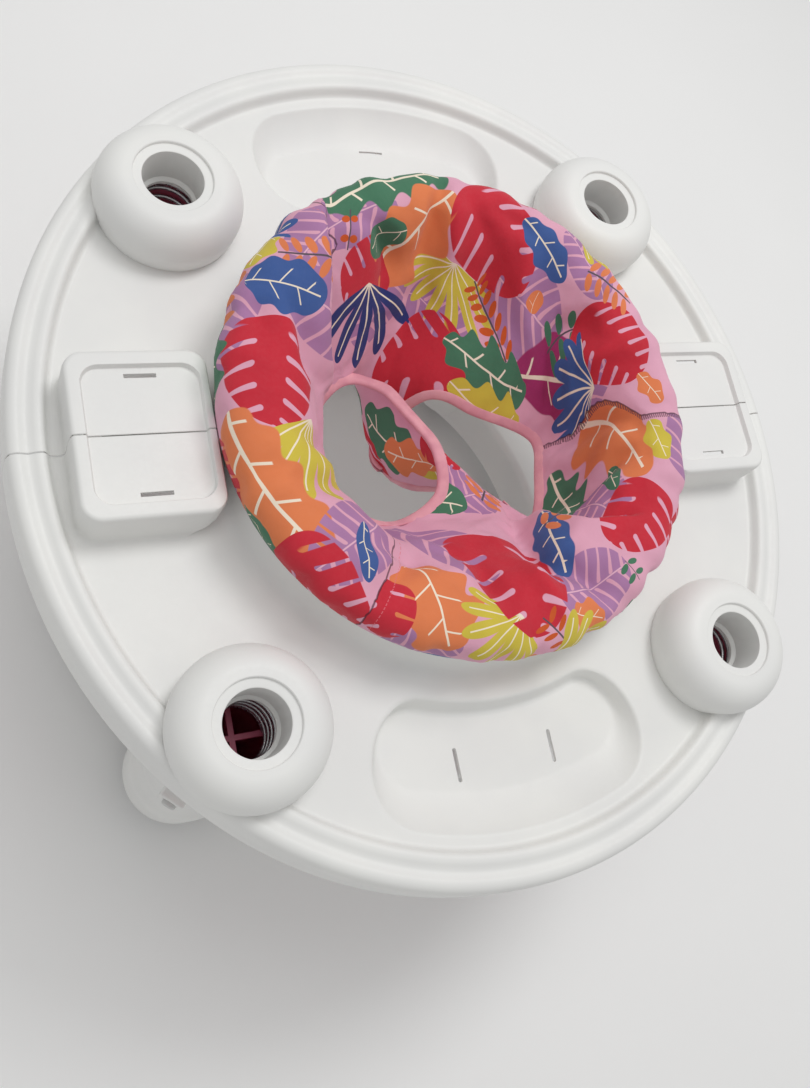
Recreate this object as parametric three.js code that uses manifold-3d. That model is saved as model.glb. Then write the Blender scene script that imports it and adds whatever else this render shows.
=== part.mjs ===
// Round baby walker: a two-half tray on four sprung legs, a swivelling fabric seat, a base ring and casters.
// Units are millimetres, +Z is up, +Y is the rear, and the origin is on the floor under the tray's centre.
import * as THREE from 'three';
import { mergeVertices } from 'three/addons/utils/BufferGeometryUtils.js';
import Module from 'manifold-3d';

const wasm = await Module();
wasm.setup();

// Driving dimensions.
const GAP = 0.3;                 // clearance between touching pieces
const WALL = 3;                  // moulded wall thickness
const RIM_Z = 400;               // height of the tray's rim
const RIM_STRETCH = 1.07;        // the rim is longer from front to back than from side to side
const FLOOR_Z = RIM_Z - 10;      // tray floor
const SKIRT_Z = RIM_Z - 42;      // bottom of the outer skirt
const SKIRT_R = 363;             // half width over the skirt
const RIM_INNER_R = 330;         // foot of the rim's inner bead
const COLLAR_R = 200;            // outside of the collar that carries the seat
const COLLAR_BORE_R = 180;
const COLLAR_Z = 427;            // top of that collar
const POCKET_Z = RIM_Z - 28;     // floor of the front and rear pockets
const POCKET_HALF_WIDTH = 41;
const POCKET_MID_R = 277;
const POCKET_HALF_ANGLE = 0.3;
const STATION = { inner: 209, outer: 317, halfY: 68, top: 430, corner: 16 };
const PANEL = { inner: 216, outer: 305, halfY: 55, z: 425, corner: 14 };
const DOME = { radius: 62, top: 437, bulgeZ: 408, bottom: 374, hole: 25, recess: 32.5, recessDepth: 3 };
const SPRING_TOP_Z = 396;        // lower end of the dome's collar, where the spring pushes
const SPRING_FOOT_Z = 340;       // top of the cross rib in the leg post
const SPRING = { radius: 25.3, wire: 1.9, turns: 4 };
const POST = { outer: 36, inner: 31, bottom: 92.6, top: 392 };
const SLEEVE = { outer: 41, inner: 37, top: 232 };
const FOOT = { radius: 56, bottom: 40, shoulder: 110 };
const BASE = { inner: 255, outer: 315, bottom: 30, top: 88, pad: 50 };
const BUTTON = { radius: 7, length: 9, proud: 4, travel: 4, z: 205, boss: 12, reach: 51 };
const WHEEL = { radius: 22, width: 16, trail: 12 };
const AXLE = { radius: 3, length: 27 };
const STEM = { radius: 5, top: 80 };
const CROWN_Z = 50;              // top of the caster fork's crown
const SEAT_TURN = THREE.MathUtils.degToRad(22);   // the seat faces the front, turned towards +X
const SEAT_RING = { inner: 172, outer: 203, flange: 3.4, bottom: 368, lug: 184 };
const LEG_HOLES = [
  { x: -48, y: 21, halfWidth: 40, halfLength: 65, turn: 0 },
  { x: 51, y: -27, halfWidth: 44, halfLength: 70, turn: THREE.MathUtils.degToRad(14) },
];
const CROTCH_FOLD = { x0: -7.5, x1: 4, halfY: 62, bottom: 290, top: 366 };   // the strip stands on edge
const ROLL = { side: THREE.MathUtils.degToRad(195), depth: 0.19 };   // where the padded roll is fullest
const BACK_LIFT = 24;            // how much higher the seat's back stands than its front

// Facets round a full turn.
const TRAY_SEGMENTS = 44;
const RING_SEGMENTS = 32;
const SEAT_SEGMENTS = 28;
const DOME_SEGMENTS = 14;
const ROUND = 16;
const SMALL = 12;

const CORNERS = [
  { name: 'front_left', x: -217, y: -226 },
  { name: 'front_right', x: 217, y: -226 },
  { name: 'rear_left', x: -212, y: 218 },
  { name: 'rear_right', x: 212, y: 218 },
];
const SIDES = [{ name: 'left', sign: -1 }, { name: 'right', sign: 1 }];

const MATERIALS = {
  white: { color: 0xe4e4e2, roughness: 0.55, metalness: 0 },
  pink: { color: 0xd9718c, roughness: 0.5, metalness: 0 },
  fabric: { color: 0xe0a9bd, roughness: 0.9, metalness: 0 },
  steel: { color: 0xb9bcc0, roughness: 0.3, metalness: 1 },
  rubber: { color: 0x3c3c3e, roughness: 0.85, metalness: 0 },
  pale: { color: 0xcfcfcd, roughness: 0.6, metalness: 0 },
};

// Closed three.js geometry to a solid, with degenerate faces dropped and its faces turned outwards.
function toSolid(geometry) {
  const bare = geometry.index ? geometry.toNonIndexed() : geometry.clone();
  bare.deleteAttribute('normal');
  bare.deleteAttribute('uv');
  const merged = mergeVertices(bare, 1e-4);
  const corners = merged.attributes.position;
  const point = (i) => new THREE.Vector3().fromBufferAttribute(corners, i);
  const faces = [];
  let volume = 0;
  for (let i = 0; i < merged.index.count; i += 3) {
    const [a, b, c] = [0, 1, 2].map((k) => merged.index.getX(i + k));
    if (a === b || b === c || a === c) continue;
    volume += point(a).dot(point(b).cross(point(c)));
    faces.push([a, b, c]);
  }
  const outward = volume < 0 ? faces.map(([a, b, c]) => [a, c, b]) : faces;
  return new wasm.Manifold(new wasm.Mesh({
    numProp: 3,
    vertProperties: Float32Array.from(corners.array),
    triVerts: Uint32Array.from(outward.flat()),
  }));
}

function toGeometry(solid) {
  const mesh = solid.getMesh();
  const geometry = new THREE.BufferGeometry();
  geometry.setAttribute('position', new THREE.BufferAttribute(mesh.vertProperties, 3));
  geometry.setIndex(new THREE.BufferAttribute(mesh.triVerts, 1));
  return geometry;
}

function latheGeometry(profile, segments) {
  const points = profile.map(([r, z]) => new THREE.Vector2(r, z));
  return new THREE.LatheGeometry(points, segments).rotateX(Math.PI / 2);
}

const closed = (profile) => [...profile, profile[0]];

const lathe = (profile, segments) => toSolid(latheGeometry(profile, segments));

function extrude(shape, bottom, top, curveSegments = 2) {
  const options = { depth: top - bottom, bevelEnabled: false, curveSegments };
  return toSolid(new THREE.ExtrudeGeometry(shape, options).translate(0, 0, bottom));
}

function box([x0, y0, z0], [x1, y1, z1]) {
  const geometry = new THREE.BoxGeometry(x1 - x0, y1 - y0, z1 - z0);
  return toSolid(geometry.translate((x0 + x1) / 2, (y0 + y1) / 2, (z0 + z1) / 2));
}

// A cylinder on the Z axis from z0 to z1.
function post(radius, z0, z1, segments = ROUND) {
  return lathe([[0, z0], [radius, z0], [radius, z1], [0, z1]], segments);
}

function roundedRect(x0, y0, x1, y1, r) {
  const shape = new THREE.Shape();
  shape.moveTo(x0 + r, y0);
  shape.lineTo(x1 - r, y0);
  shape.absarc(x1 - r, y0 + r, r, -Math.PI / 2, 0);
  shape.lineTo(x1, y1 - r);
  shape.absarc(x1 - r, y1 - r, r, 0, Math.PI / 2);
  shape.lineTo(x0 + r, y1);
  shape.absarc(x0 + r, y1 - r, r, Math.PI / 2, Math.PI);
  shape.lineTo(x0, y0 + r);
  shape.absarc(x0 + r, y0 + r, r, Math.PI, Math.PI * 1.5);
  return shape;
}

// Moves the outer part of the tray outwards along Y, so that the round collar sits in an oval rim.
function makeOval(geometry) {
  const at = geometry.attributes.position;
  for (let i = 0; i < at.count; i += 1) {
    const r = Math.hypot(at.getX(i), at.getY(i));
    const share = THREE.MathUtils.smoothstep(r, COLLAR_R + 15, RIM_INNER_R);
    at.setY(i, at.getY(i) * (1 + (RIM_STRETCH - 1) * share));
  }
  return geometry;
}

function traySkin() {
  const top = [
    [COLLAR_BORE_R, 376], [COLLAR_BORE_R, COLLAR_Z - 2], [COLLAR_BORE_R + 2, COLLAR_Z],
    [COLLAR_R - 3, COLLAR_Z], [COLLAR_R, COLLAR_Z - 3], [COLLAR_R + 8, FLOOR_Z + 3],
    [COLLAR_R + 16, FLOOR_Z], [RIM_INNER_R - 7, FLOOR_Z], [RIM_INNER_R - 1, FLOOR_Z + 3],
    [RIM_INNER_R + 2, RIM_Z - 1.5], [RIM_INNER_R + 6, RIM_Z + 0.2], [RIM_INNER_R + 11, RIM_Z - 0.4],
    [RIM_INNER_R + 15, RIM_Z - 1.6], [RIM_INNER_R + 20, RIM_Z + 0.4], [SKIRT_R - 8, RIM_Z],
    [SKIRT_R - 3.5, RIM_Z - 4.5], [SKIRT_R - 1.6, RIM_Z - 12], [SKIRT_R, SKIRT_Z],
  ];
  const under = [
    [SKIRT_R - WALL, SKIRT_Z], [SKIRT_R - 4.7, RIM_Z - 12], [SKIRT_R - 7, RIM_Z - 5],
    [RIM_INNER_R + 20, RIM_Z - 3.2], [RIM_INNER_R + 5, RIM_Z - 3.6], [RIM_INNER_R + 2, FLOOR_Z - 1],
    [RIM_INNER_R - 3, FLOOR_Z - WALL], [COLLAR_R + 14, FLOOR_Z - WALL], [COLLAR_R + 5.5, FLOOR_Z],
    [COLLAR_R - 3, COLLAR_Z - 4], [COLLAR_BORE_R + 4, COLLAR_Z - 3.5], [COLLAR_BORE_R + WALL, 376],
  ];
  return toSolid(makeOval(latheGeometry(closed([...top, ...under]), TRAY_SEGMENTS)));
}

// The outline of a pocket: a band around the tray with round ends, at the front (sign -1) or rear (sign 1).
function pocketShape(sign, grow) {
  const centre = sign * Math.PI / 2;
  const half = POCKET_HALF_WIDTH + grow;
  const radial = (angle, r) => [Math.cos(angle) * r, Math.sin(angle) * r];
  const shape = new THREE.Shape();
  const [a0, a1] = [centre - POCKET_HALF_ANGLE, centre + POCKET_HALF_ANGLE];
  shape.absarc(0, 0, POCKET_MID_R + half, a0, a1, false);
  shape.absarc(...radial(a1, POCKET_MID_R), half, a1, a1 + Math.PI, false);
  shape.absarc(0, 0, POCKET_MID_R - half, a1, a0, true);
  shape.absarc(...radial(a0, POCKET_MID_R), half, a0 + Math.PI, a0 + 2 * Math.PI, false);
  return shape;
}

// The front pocket has two slots that run towards the seat, and the rear one has a slot across it.
function pocketSlots(sign) {
  const [low, high] = [POCKET_Z - 8, POCKET_Z + 8];
  const slot = (x, y, halfX, halfY) => box([x - halfX, y - halfY, low], [x + halfX, y + halfY, high]);
  if (sign > 0) return slot(0, POCKET_MID_R + 28, 12, 1.75);
  return slot(-45, -282, 1.75, 14).add(slot(45, -282, 1.75, 14));
}

function addPocket(tray, sign) {
  const tub = extrude(pocketShape(sign, WALL), POCKET_Z - WALL, FLOOR_Z - 0.5, 4);
  const hollow = extrude(pocketShape(sign, 0), POCKET_Z, FLOOR_Z + 8, 4);
  return tray.add(tub).subtract(hollow).subtract(pocketSlots(sign));
}

function mirrorSpan(sign, inner, outer) {
  return sign > 0 ? [inner, outer] : [-outer, -inner];
}

function addStation(tray, sign) {
  const { inner, outer, halfY, top, corner } = STATION;
  const [x0, x1] = mirrorSpan(sign, inner, outer);
  const block = extrude(roundedRect(x0, -halfY, x1, halfY, corner), FLOOR_Z - 2, top);
  const hollow = extrude(
    roundedRect(x0 + WALL, -halfY + WALL, x1 - WALL, halfY - WALL, corner - WALL),
    FLOOR_Z - 10, PANEL.z - WALL,
  );
  const [p0, p1] = mirrorSpan(sign, PANEL.inner, PANEL.outer);
  const panel = extrude(roundedRect(p0, -PANEL.halfY, p1, PANEL.halfY, PANEL.corner), PANEL.z, top + 5);
  const middle = (p0 + p1) / 2;
  const slot = (y) => box([middle - 12.2, y - 1.75, PANEL.z - 8], [middle + 12.2, y + 1.75, top]);
  return tray.add(block).subtract(hollow).subtract(panel).subtract(slot(-47.6)).subtract(slot(47.6));
}

// The dome's outer outline from its open bottom to the flat around its hole, grown sideways by a clearance.
function domeOutline(grow) {
  const { radius, top, bottom, recess, bulgeZ } = DOME;
  const points = [[radius - 10 + grow, bottom], [radius - 3 + grow, bottom + 16]];
  for (let step = 0; step <= 4; step += 1) {
    const angle = (step / 4) * (Math.PI / 2);
    const r = recess + 6 + (radius - recess - 6) * Math.cos(angle);
    points.push([r + grow, bulgeZ + (top + grow - bulgeZ) * Math.sin(angle)]);
  }
  return points;
}

function domeCore(corner) {
  const outline = domeOutline(GAP);
  const profile = [[0, DOME.bottom], ...outline, [0, DOME.top + GAP]];
  return lathe(profile, DOME_SEGMENTS).translate(corner.x, corner.y, 0);
}

function domeShell() {
  const { top, bottom, hole, recess, recessDepth, radius } = DOME;
  const inside = [
    [radius - 6 - WALL, bottom + 16], [radius - WALL, 408], [radius - 10, 424], [recess + 8, 433],
    [hole + WALL, top - recessDepth - WALL],
  ];
  const collar = [[hole + WALL, SPRING_TOP_Z], [hole - WALL, SPRING_TOP_Z],
    [hole - WALL, SPRING_TOP_Z + 2.5], [hole, SPRING_TOP_Z + 6], [hole, top - recessDepth],
    [recess, top - recessDepth], [recess, top]];
  const profile = [...domeOutline(0), ...collar.reverse(), ...inside.reverse(),
    [radius - 10 - WALL, bottom]];
  return lathe(closed(profile), DOME_SEGMENTS);
}

function trayHalves() {
  let tray = traySkin();
  for (const sign of [-1, 1]) tray = addStation(addPocket(tray, sign), sign);
  for (const corner of CORNERS) tray = tray.subtract(domeCore(corner));
  const far = SKIRT_R * 1.3;
  const half = (y0, y1) => tray.intersect(box([-far, y0, 300], [far, y1, 500]));
  return { front: half(-far, -GAP), rear: half(GAP, far) };
}

function seamPlate(sign) {
  const [x0, x1] = mirrorSpan(sign, 228, 294);
  const z = PANEL.z - WALL - GAP;
  const plate = box([x0, -32, z - WALL], [x1, 32, z]);
  const holes = [-18, 18].map((y) => post(2.6, z - 10, z + 5, SMALL).translate((x0 + x1) / 2, y, 0));
  return holes.reduce((solid, hole) => solid.subtract(hole), plate);
}

function screw() {
  const top = PANEL.z - WALL - GAP;
  const head = top - WALL - GAP;
  return lathe([[0, head - 2.6], [3, head - 2.6], [4.4, head - 1], [4.4, head], [2.2, head],
    [2.2, top - 0.2], [0, top - 0.2]], SMALL);
}

// The base channel's solid outline: a ring with a round pad under each leg.
function baseOutline(grow, roof) {
  const { inner, outer, bottom, top, pad } = BASE;
  const [r0, r1] = [inner - grow, outer + grow];
  const section = [[r0, bottom - 1], [r0 + 6, roof], [r1 - 6, roof], [r1, bottom - 1]];
  let solid = lathe(closed(section), RING_SEGMENTS);
  for (const corner of CORNERS) {
    solid = solid.add(post(pad + grow, bottom - 1, roof).translate(corner.x, corner.y, 0));
  }
  const below = box([-500, -500, bottom], [500, 500, top + 5]);
  return grow < 0 ? solid : solid.intersect(below);
}

function baseRing() {
  let solid = baseOutline(0, BASE.top).subtract(baseOutline(-WALL, BASE.top - WALL));
  for (const corner of CORNERS) {
    const boss = post(11, CROWN_Z + 6, BASE.top - 1, SMALL);
    const bore = post(STEM.radius + GAP, 0, STEM.top + 1, SMALL);
    solid = solid.add(boss.translate(corner.x, corner.y, 0));
    solid = solid.subtract(bore.translate(corner.x, corner.y, 0));
  }
  return solid;
}

const outwardAngle = (corner) => Math.atan2(corner.y, corner.x);

// The white leg: a foot that covers the caster, and a tube in which the post slides.
function legSleeve(corner) {
  const { radius, bottom, shoulder } = FOOT;
  const floor = POST.bottom - GAP;
  const body = lathe([[0, floor], [SLEEVE.inner, floor], [SLEEVE.inner, SLEEVE.top],
    [SLEEVE.outer, SLEEVE.top], [SLEEVE.outer + 1, shoulder + 34], [SLEEVE.outer + 4, shoulder + 18],
    [radius - 4, shoulder + 8],
    [radius, shoulder], [radius, bottom], [radius - WALL, bottom], [radius - WALL, BASE.top + GAP],
    [0, BASE.top + GAP]], ROUND);
  const { z, boss, reach, length, proud, travel, radius: button } = BUTTON;
  const housing = box([SLEEVE.inner + 2, -boss, z - boss], [reach, boss, z + boss]);
  const pocketEnd = reach - length + proud - travel;
  const pocket = post(button + GAP, 0, reach, SMALL).rotate([0, 90, 0]).translate(pocketEnd, 0, z);
  const outward = THREE.MathUtils.radToDeg(outwardAngle(corner));
  const turned = body.add(housing).subtract(pocket).rotate([0, 0, outward]);
  return turned.translate(corner.x, corner.y, 0).subtract(baseOutline(GAP + 0.1, BASE.top + GAP));
}

function legPost() {
  const { outer, inner, bottom, top } = POST;
  const tube = lathe(closed([[inner, bottom], [outer, bottom], [outer, top], [inner, top]]), ROUND);
  const reach = inner + 2;
  const rib = box([-reach, -2.5, SPRING_FOOT_Z - 18], [reach, 2.5, SPRING_FOOT_Z]);
  return tube.add(rib).add(rib.rotate([0, 0, 90]));
}

class Helix extends THREE.Curve {
  constructor(radius, z0, z1, turns) {
    super();
    Object.assign(this, { radius, z0, z1, turns });
  }

  getPoint(t, target = new THREE.Vector3()) {
    const angle = t * this.turns * 2 * Math.PI;
    const z = this.z0 + t * (this.z1 - this.z0);
    return target.set(Math.cos(angle) * this.radius, Math.sin(angle) * this.radius, z);
  }
}

function spring() {
  const { radius, wire, turns } = SPRING;
  const section = new THREE.Shape();
  section.absarc(0, 0, wire, 0, 2 * Math.PI);
  const [z0, z1] = [SPRING_FOOT_Z + wire + 0.5, SPRING_TOP_Z - wire - 0.5];
  const path = new Helix(radius, z0, z1, turns);
  const options = { steps: turns * 9, curveSegments: 2, extrudePath: path };
  return toSolid(new THREE.ExtrudeGeometry(section, options));
}

function button() {
  const { radius, length, proud } = BUTTON;
  const section = [[0, 0], [radius - 1, 0], [radius, 1], [radius, length - 1.5], [radius - 1.5, length],
    [0, length]];
  const upright = lathe(section, SMALL);
  return upright.rotate([0, 90, 0]).translate(BUTTON.reach - length + proud, 0, BUTTON.z);
}

function casterFork() {
  const { radius, width, trail } = WHEEL;
  const stem = post(STEM.radius, CROWN_Z - 2, STEM.top, SMALL);
  const crown = post(17, CROWN_Z - 4, CROWN_Z, ROUND);
  const cheek = (side) => {
    const y = side * (width / 2 + 1.2);
    const [y0, y1] = side > 0 ? [y, y + WALL] : [y - WALL, y];
    return box([-trail - 8, y0, radius - 7], [7, y1, CROWN_Z - 2]);
  };
  const bore = post(AXLE.radius + GAP, -20, 20, SMALL).rotate([90, 0, 0]).translate(-trail, 0, radius);
  return stem.add(crown).add(cheek(1)).add(cheek(-1)).subtract(bore);
}

function wheel() {
  const { radius, width } = WHEEL;
  const [bore, half] = [AXLE.radius + GAP, width / 2];
  return lathe(closed([[bore, -half], [radius - 2, -half], [radius, -half + 2], [radius, half - 2],
    [radius - 2, half], [bore, half]]), ROUND);
}

function seatRing() {
  const { inner, outer, flange, bottom, lug } = SEAT_RING;
  const [z0, z1] = [COLLAR_Z + GAP, COLLAR_Z + GAP + flange];
  const section = [[inner, bottom], [inner + WALL, bottom], [inner + WALL, z0], [outer, z0], [outer, z1],
    [inner, z1]];
  let ring = lathe(closed(section), SEAT_SEGMENTS);
  for (let k = 0; k < 4; k += 1) {
    const hook = box([inner + 1, -12, bottom + 1], [lug, 12, bottom + 7]);
    ring = ring.add(hook.rotate([0, 0, 45 + 90 * k]));
  }
  return ring;
}

// How much nearer to the middle the roll reaches at a height and radius, as a share of the radius.
function rollShare(turn, r, z) {
  const side = (1 + Math.cos(turn - ROLL.side)) / 2;
  const high = THREE.MathUtils.smoothstep(z, 340, 385);
  const inside = 1 - THREE.MathUtils.smoothstep(r, 150, 185);
  return ROLL.depth * side * high * inside;
}

// The seat's cloth bowl: the padded roll around it, its raised back, two leg holes and a strip between them.
function seatFabric() {
  const ringTop = COLLAR_Z + GAP + SEAT_RING.flange + GAP;
  const hem = SEAT_RING.outer + 2 * GAP;
  const underside = [[0, 325], [60, 326.5], [84, 331], [97, 343], [112, 362], [126, 380], [139, 399],
    [151, 417], [160, 429], [164, ringTop], [hem, ringTop], [hem, 421]];
  const topSide = [[206.5, 421], [207.5, 431], [211, 437], [210.5, 445], [205, 452], [196, 456.5],
    [184, 457.5], [168, 451], [156, 439], [144, 422], [131, 404], [118, 386], [104, 369], [90, 354],
    [72, 343], [52, 336.5], [0, 335]];
  const geometry = latheGeometry([...underside, ...topSide], SEAT_SEGMENTS);
  const at = geometry.attributes.position;
  for (let i = 0; i < at.count; i += 1) {
    const [x, y, z] = [at.getX(i), at.getY(i), at.getZ(i)];
    const share = 1 - rollShare(Math.atan2(y, x), Math.hypot(x, y), z);
    const behind = (1 + Math.cos(Math.atan2(x, y))) / 2;
    const lift = BACK_LIFT * behind * THREE.MathUtils.smoothstep(z, ringTop + 1, 456);
    at.setXYZ(i, x * share, y * share, z + lift);
  }
  let solid = toSolid(geometry);
  for (const { x, y, halfWidth, halfLength, turn } of LEG_HOLES) {
    const hole = new THREE.Shape();
    hole.absellipse(x, y, halfWidth, halfLength, 0, 2 * Math.PI, false, turn);
    solid = solid.subtract(extrude(hole, 300, 380, 8));
  }
  const { x0, x1, halfY, bottom, top } = CROTCH_FOLD;
  return solid.add(box([x0, -halfY, bottom], [x1, halfY, top]));
}

// A rubber block in the base channel that grips the floor if the base drops over a step.
function stepStop() {
  return box([BASE.inner + 13, -20, 8], [BASE.outer - 13, 20, BASE.top - 2 * WALL]);
}

const walker = new THREE.Group();

function place(name, solid, material, x = 0, y = 0, turn = 0) {
  const mesh = new THREE.Mesh(toGeometry(solid), new THREE.MeshStandardMaterial(MATERIALS[material]));
  mesh.name = name;
  mesh.position.set(x, y, 0);
  mesh.rotation.z = turn;
  walker.add(mesh);
  return mesh;
}

function addLeg(corner) {
  const { name, x, y } = corner;
  place(`dome_${name}`, domeShell(), 'white', x, y);
  place(`leg_sleeve_${name}`, legSleeve(corner), 'white');
  place(`leg_post_${name}`, legPost(), 'pink', x, y);
  place(`spring_${name}`, spring(), 'steel', x, y);
  place(`height_button_${name}`, button(), 'pale', x, y, outwardAngle(corner));
}

function addCaster({ name, x, y }) {
  place(`caster_fork_${name}`, casterFork(), 'pale', x, y, Math.PI / 2);
  const [wheelY, wheelZ] = [y - WHEEL.trail, WHEEL.radius];
  for (const [part, solid, material] of [['wheel', wheel(), 'rubber'],
    ['axle', post(AXLE.radius, -AXLE.length / 2, AXLE.length / 2, SMALL), 'steel']]) {
    const mesh = place(`${part}_${name}`, solid, material, x, wheelY);
    mesh.position.z = wheelZ;
    mesh.rotation.y = Math.PI / 2;
  }
}

function addTray() {
  const { front, rear } = trayHalves();
  place('tray_front', front, 'white');
  place('tray_rear', rear, 'white');
  for (const { name, sign } of SIDES) {
    place(`seam_plate_${name}`, seamPlate(sign), 'white');
    place(`seam_screw_${name}_front`, screw(), 'steel', sign * 261, -18);
    place(`seam_screw_${name}_rear`, screw(), 'steel', sign * 261, 18);
  }
}

addTray();
CORNERS.forEach(addLeg);
CORNERS.forEach(addCaster);
place('base_ring', baseRing(), 'white');
['right', 'rear', 'left', 'front'].forEach((name, k) => {
  place(`step_stop_${name}`, stepStop(), 'rubber', 0, 0, k * Math.PI / 2);
});
place('seat_ring', seatRing(), 'white', 0, 0, SEAT_TURN);
place('seat_fabric', seatFabric(), 'fabric', 0, 0, SEAT_TURN);

export default walker;
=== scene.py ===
"""Looks of a round baby walker: moulded tray, sprung domes, pink posts, white legs and base, printed seat.

Lengths are in millimetres until a mesh is made, and the frame's own metres after that.
"""
import math

import bmesh
import bpy
import numpy as np
from mathutils import Matrix, Vector
from mathutils.geometry import delaunay_2d_cdt


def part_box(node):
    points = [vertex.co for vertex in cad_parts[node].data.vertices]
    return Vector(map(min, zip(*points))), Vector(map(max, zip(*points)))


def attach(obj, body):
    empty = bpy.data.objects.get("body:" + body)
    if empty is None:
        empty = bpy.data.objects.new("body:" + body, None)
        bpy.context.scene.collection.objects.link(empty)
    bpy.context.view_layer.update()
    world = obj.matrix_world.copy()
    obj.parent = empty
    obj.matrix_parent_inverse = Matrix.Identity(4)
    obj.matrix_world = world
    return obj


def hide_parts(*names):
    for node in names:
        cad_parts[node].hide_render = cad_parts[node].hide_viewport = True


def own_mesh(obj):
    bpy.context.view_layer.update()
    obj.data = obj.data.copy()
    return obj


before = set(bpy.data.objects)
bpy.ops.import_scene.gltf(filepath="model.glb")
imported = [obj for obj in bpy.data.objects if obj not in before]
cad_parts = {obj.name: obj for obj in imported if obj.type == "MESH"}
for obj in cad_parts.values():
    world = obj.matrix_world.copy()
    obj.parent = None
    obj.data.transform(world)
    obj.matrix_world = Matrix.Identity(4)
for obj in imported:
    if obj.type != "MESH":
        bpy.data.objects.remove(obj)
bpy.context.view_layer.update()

MM = 0.001
WELD = 0.01                    # points this close are joined

# Driving dimensions, as in the CAD model.
RIM_Z = 400.0
FLOOR_Z = RIM_Z - 10
FLOOR_INNER = 222.0            # where the tray's flat floor meets the collar
FLOOR_OUTER = 326.0            # where it meets the rim
RIM_STRETCH = 1.07
OVAL_FROM, OVAL_TO = 215.0, 330.0
POCKET_Z = RIM_Z - 28
PANEL_Z = 425.0
PANEL_INNER, PANEL_OUTER = 216.0, 305.0
PANEL_HALF_Y = 55.0
STATION_OUTER, STATION_HALF_Y = 317.0, 68.0
DOME_OPENING = 55.0            # radius of the tray's opening under a dome
SLOT_HALF_WIDTH = 1.75
WALL = 3.0
SEAM = 0.4
RIM_SEGMENTS = 288
COLLAR_SEGMENTS = 144
POST_OUTER = 36.0
SPRING_FOOT_Z = 340.5
SPRING_LENGTH = 55.5
BUTTON_Z = 205.0
WHEEL_TRAIL = 12.0             # from the caster's stem back to its axle
AXLE_Z = 22.0
HOOKS = 4
CORNER_NAMES = ("front_left", "front_right", "rear_left", "rear_right")
SEAT_TURN = math.radians(22)


def corners_of(node):
    """The low and the high corner of a CAD node's box, in millimetres."""
    return [np.array(corner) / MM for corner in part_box(node)]


def centre_of(node):
    """Middle of a CAD node's box, in millimetres."""
    low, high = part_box(node)
    return np.array((low + high) / 2) / MM


CORNERS = {name: centre_of(f"leg_post_{name}")[:2] for name in CORNER_NAMES}


# ---------------------------------------------------------------- mesh helpers

def smooth_curve(points, per_span):
    """Catmull-Rom curve through the points."""
    p = np.array(points, float)
    p = np.vstack([2 * p[0] - p[1], p, 2 * p[-1] - p[-2]])
    out = []
    for i in range(1, len(p) - 2):
        for k in range(per_span):
            t = k / per_span
            a, b, c, d = p[i - 1], p[i], p[i + 1], p[i + 2]
            out.append(0.5 * (2 * b + (c - a) * t + (2 * a - 5 * b + 4 * c - d) * t ** 2
                              + (3 * b - a - 3 * c + d) * t ** 3))
    out.append(p[-2])
    return np.array(out)


def ring(radius, z, count=RIM_SEGMENTS):
    angle = np.arange(count) * 2 * math.pi / count
    return np.stack([np.cos(angle) * radius, np.sin(angle) * radius, np.full(count, float(z))], 1)


def rounded_rect(x0, y0, x1, y1, r, z=0.0, corner=8, side=8):
    """Points round a rectangle with round corners, anticlockwise from the lower side's start."""
    points = []
    centres = [((x1 - r, y0 + r), -90), ((x1 - r, y1 - r), 0), ((x0 + r, y1 - r), 90),
               ((x0 + r, y0 + r), 180)]
    for (cx, cy), start in centres:
        arc = []
        for k in range(corner + 1):
            angle = math.radians(start + 90 * k / corner)
            arc.append((cx + r * math.cos(angle), cy + r * math.sin(angle)))
        if points:
            (ax, ay), (bx, by) = points[-1], arc[0]
            points += [(ax + (bx - ax) * k / side, ay + (by - ay) * k / side) for k in range(1, side)]
        points += arc
    (ax, ay), (bx, by) = points[-1], points[0]
    points += [(ax + (bx - ax) * k / side, ay + (by - ay) * k / side) for k in range(1, side)]
    return np.array([(x, y, z) for x, y in points])


def in_outline(points, outline):
    inside = np.zeros(len(points), bool)
    for (ax, ay), (bx, by) in zip(outline, np.roll(outline, -1, axis=0)):
        crosses = (ay > points[:, 1]) != (by > points[:, 1])
        with np.errstate(divide="ignore", invalid="ignore"):
            at = (bx - ax) * (points[:, 1] - ay) / (by - ay) + ax
        inside ^= crosses & (points[:, 0] < at)
    return inside


def triangulate(points, edges, outlines):
    """Triangles on the points that lie inside the first outline and outside the others."""
    found, _, faces, *_ = delaunay_2d_cdt(points, edges, [], 0, 1e-4)
    flat = np.array([(p.x, p.y) for p in found])
    middles = np.array([flat[list(face)].mean(0) for face in faces])
    keep = in_outline(middles, np.array(outlines[0])[:, :2])
    for outline in outlines[1:]:
        keep &= ~in_outline(middles, np.array(outline)[:, :2])
    kept = [face for face, inside in zip(faces, keep) if inside]
    used = sorted({k for face in kept for k in face})
    place = {old: new for new, old in enumerate(used)}
    return flat[used], [tuple(place[k] for k in face) for face in kept]


def place_object(name, data):
    made = bpy.data.objects.new(name, data)
    bpy.context.scene.collection.objects.link(made)
    return made


def closed_edges(start, count):
    """Pairs of numbers round a closed outline whose first point has the number start."""
    return [(start + k, start + (k + 1) % count) for k in range(count)]


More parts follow.
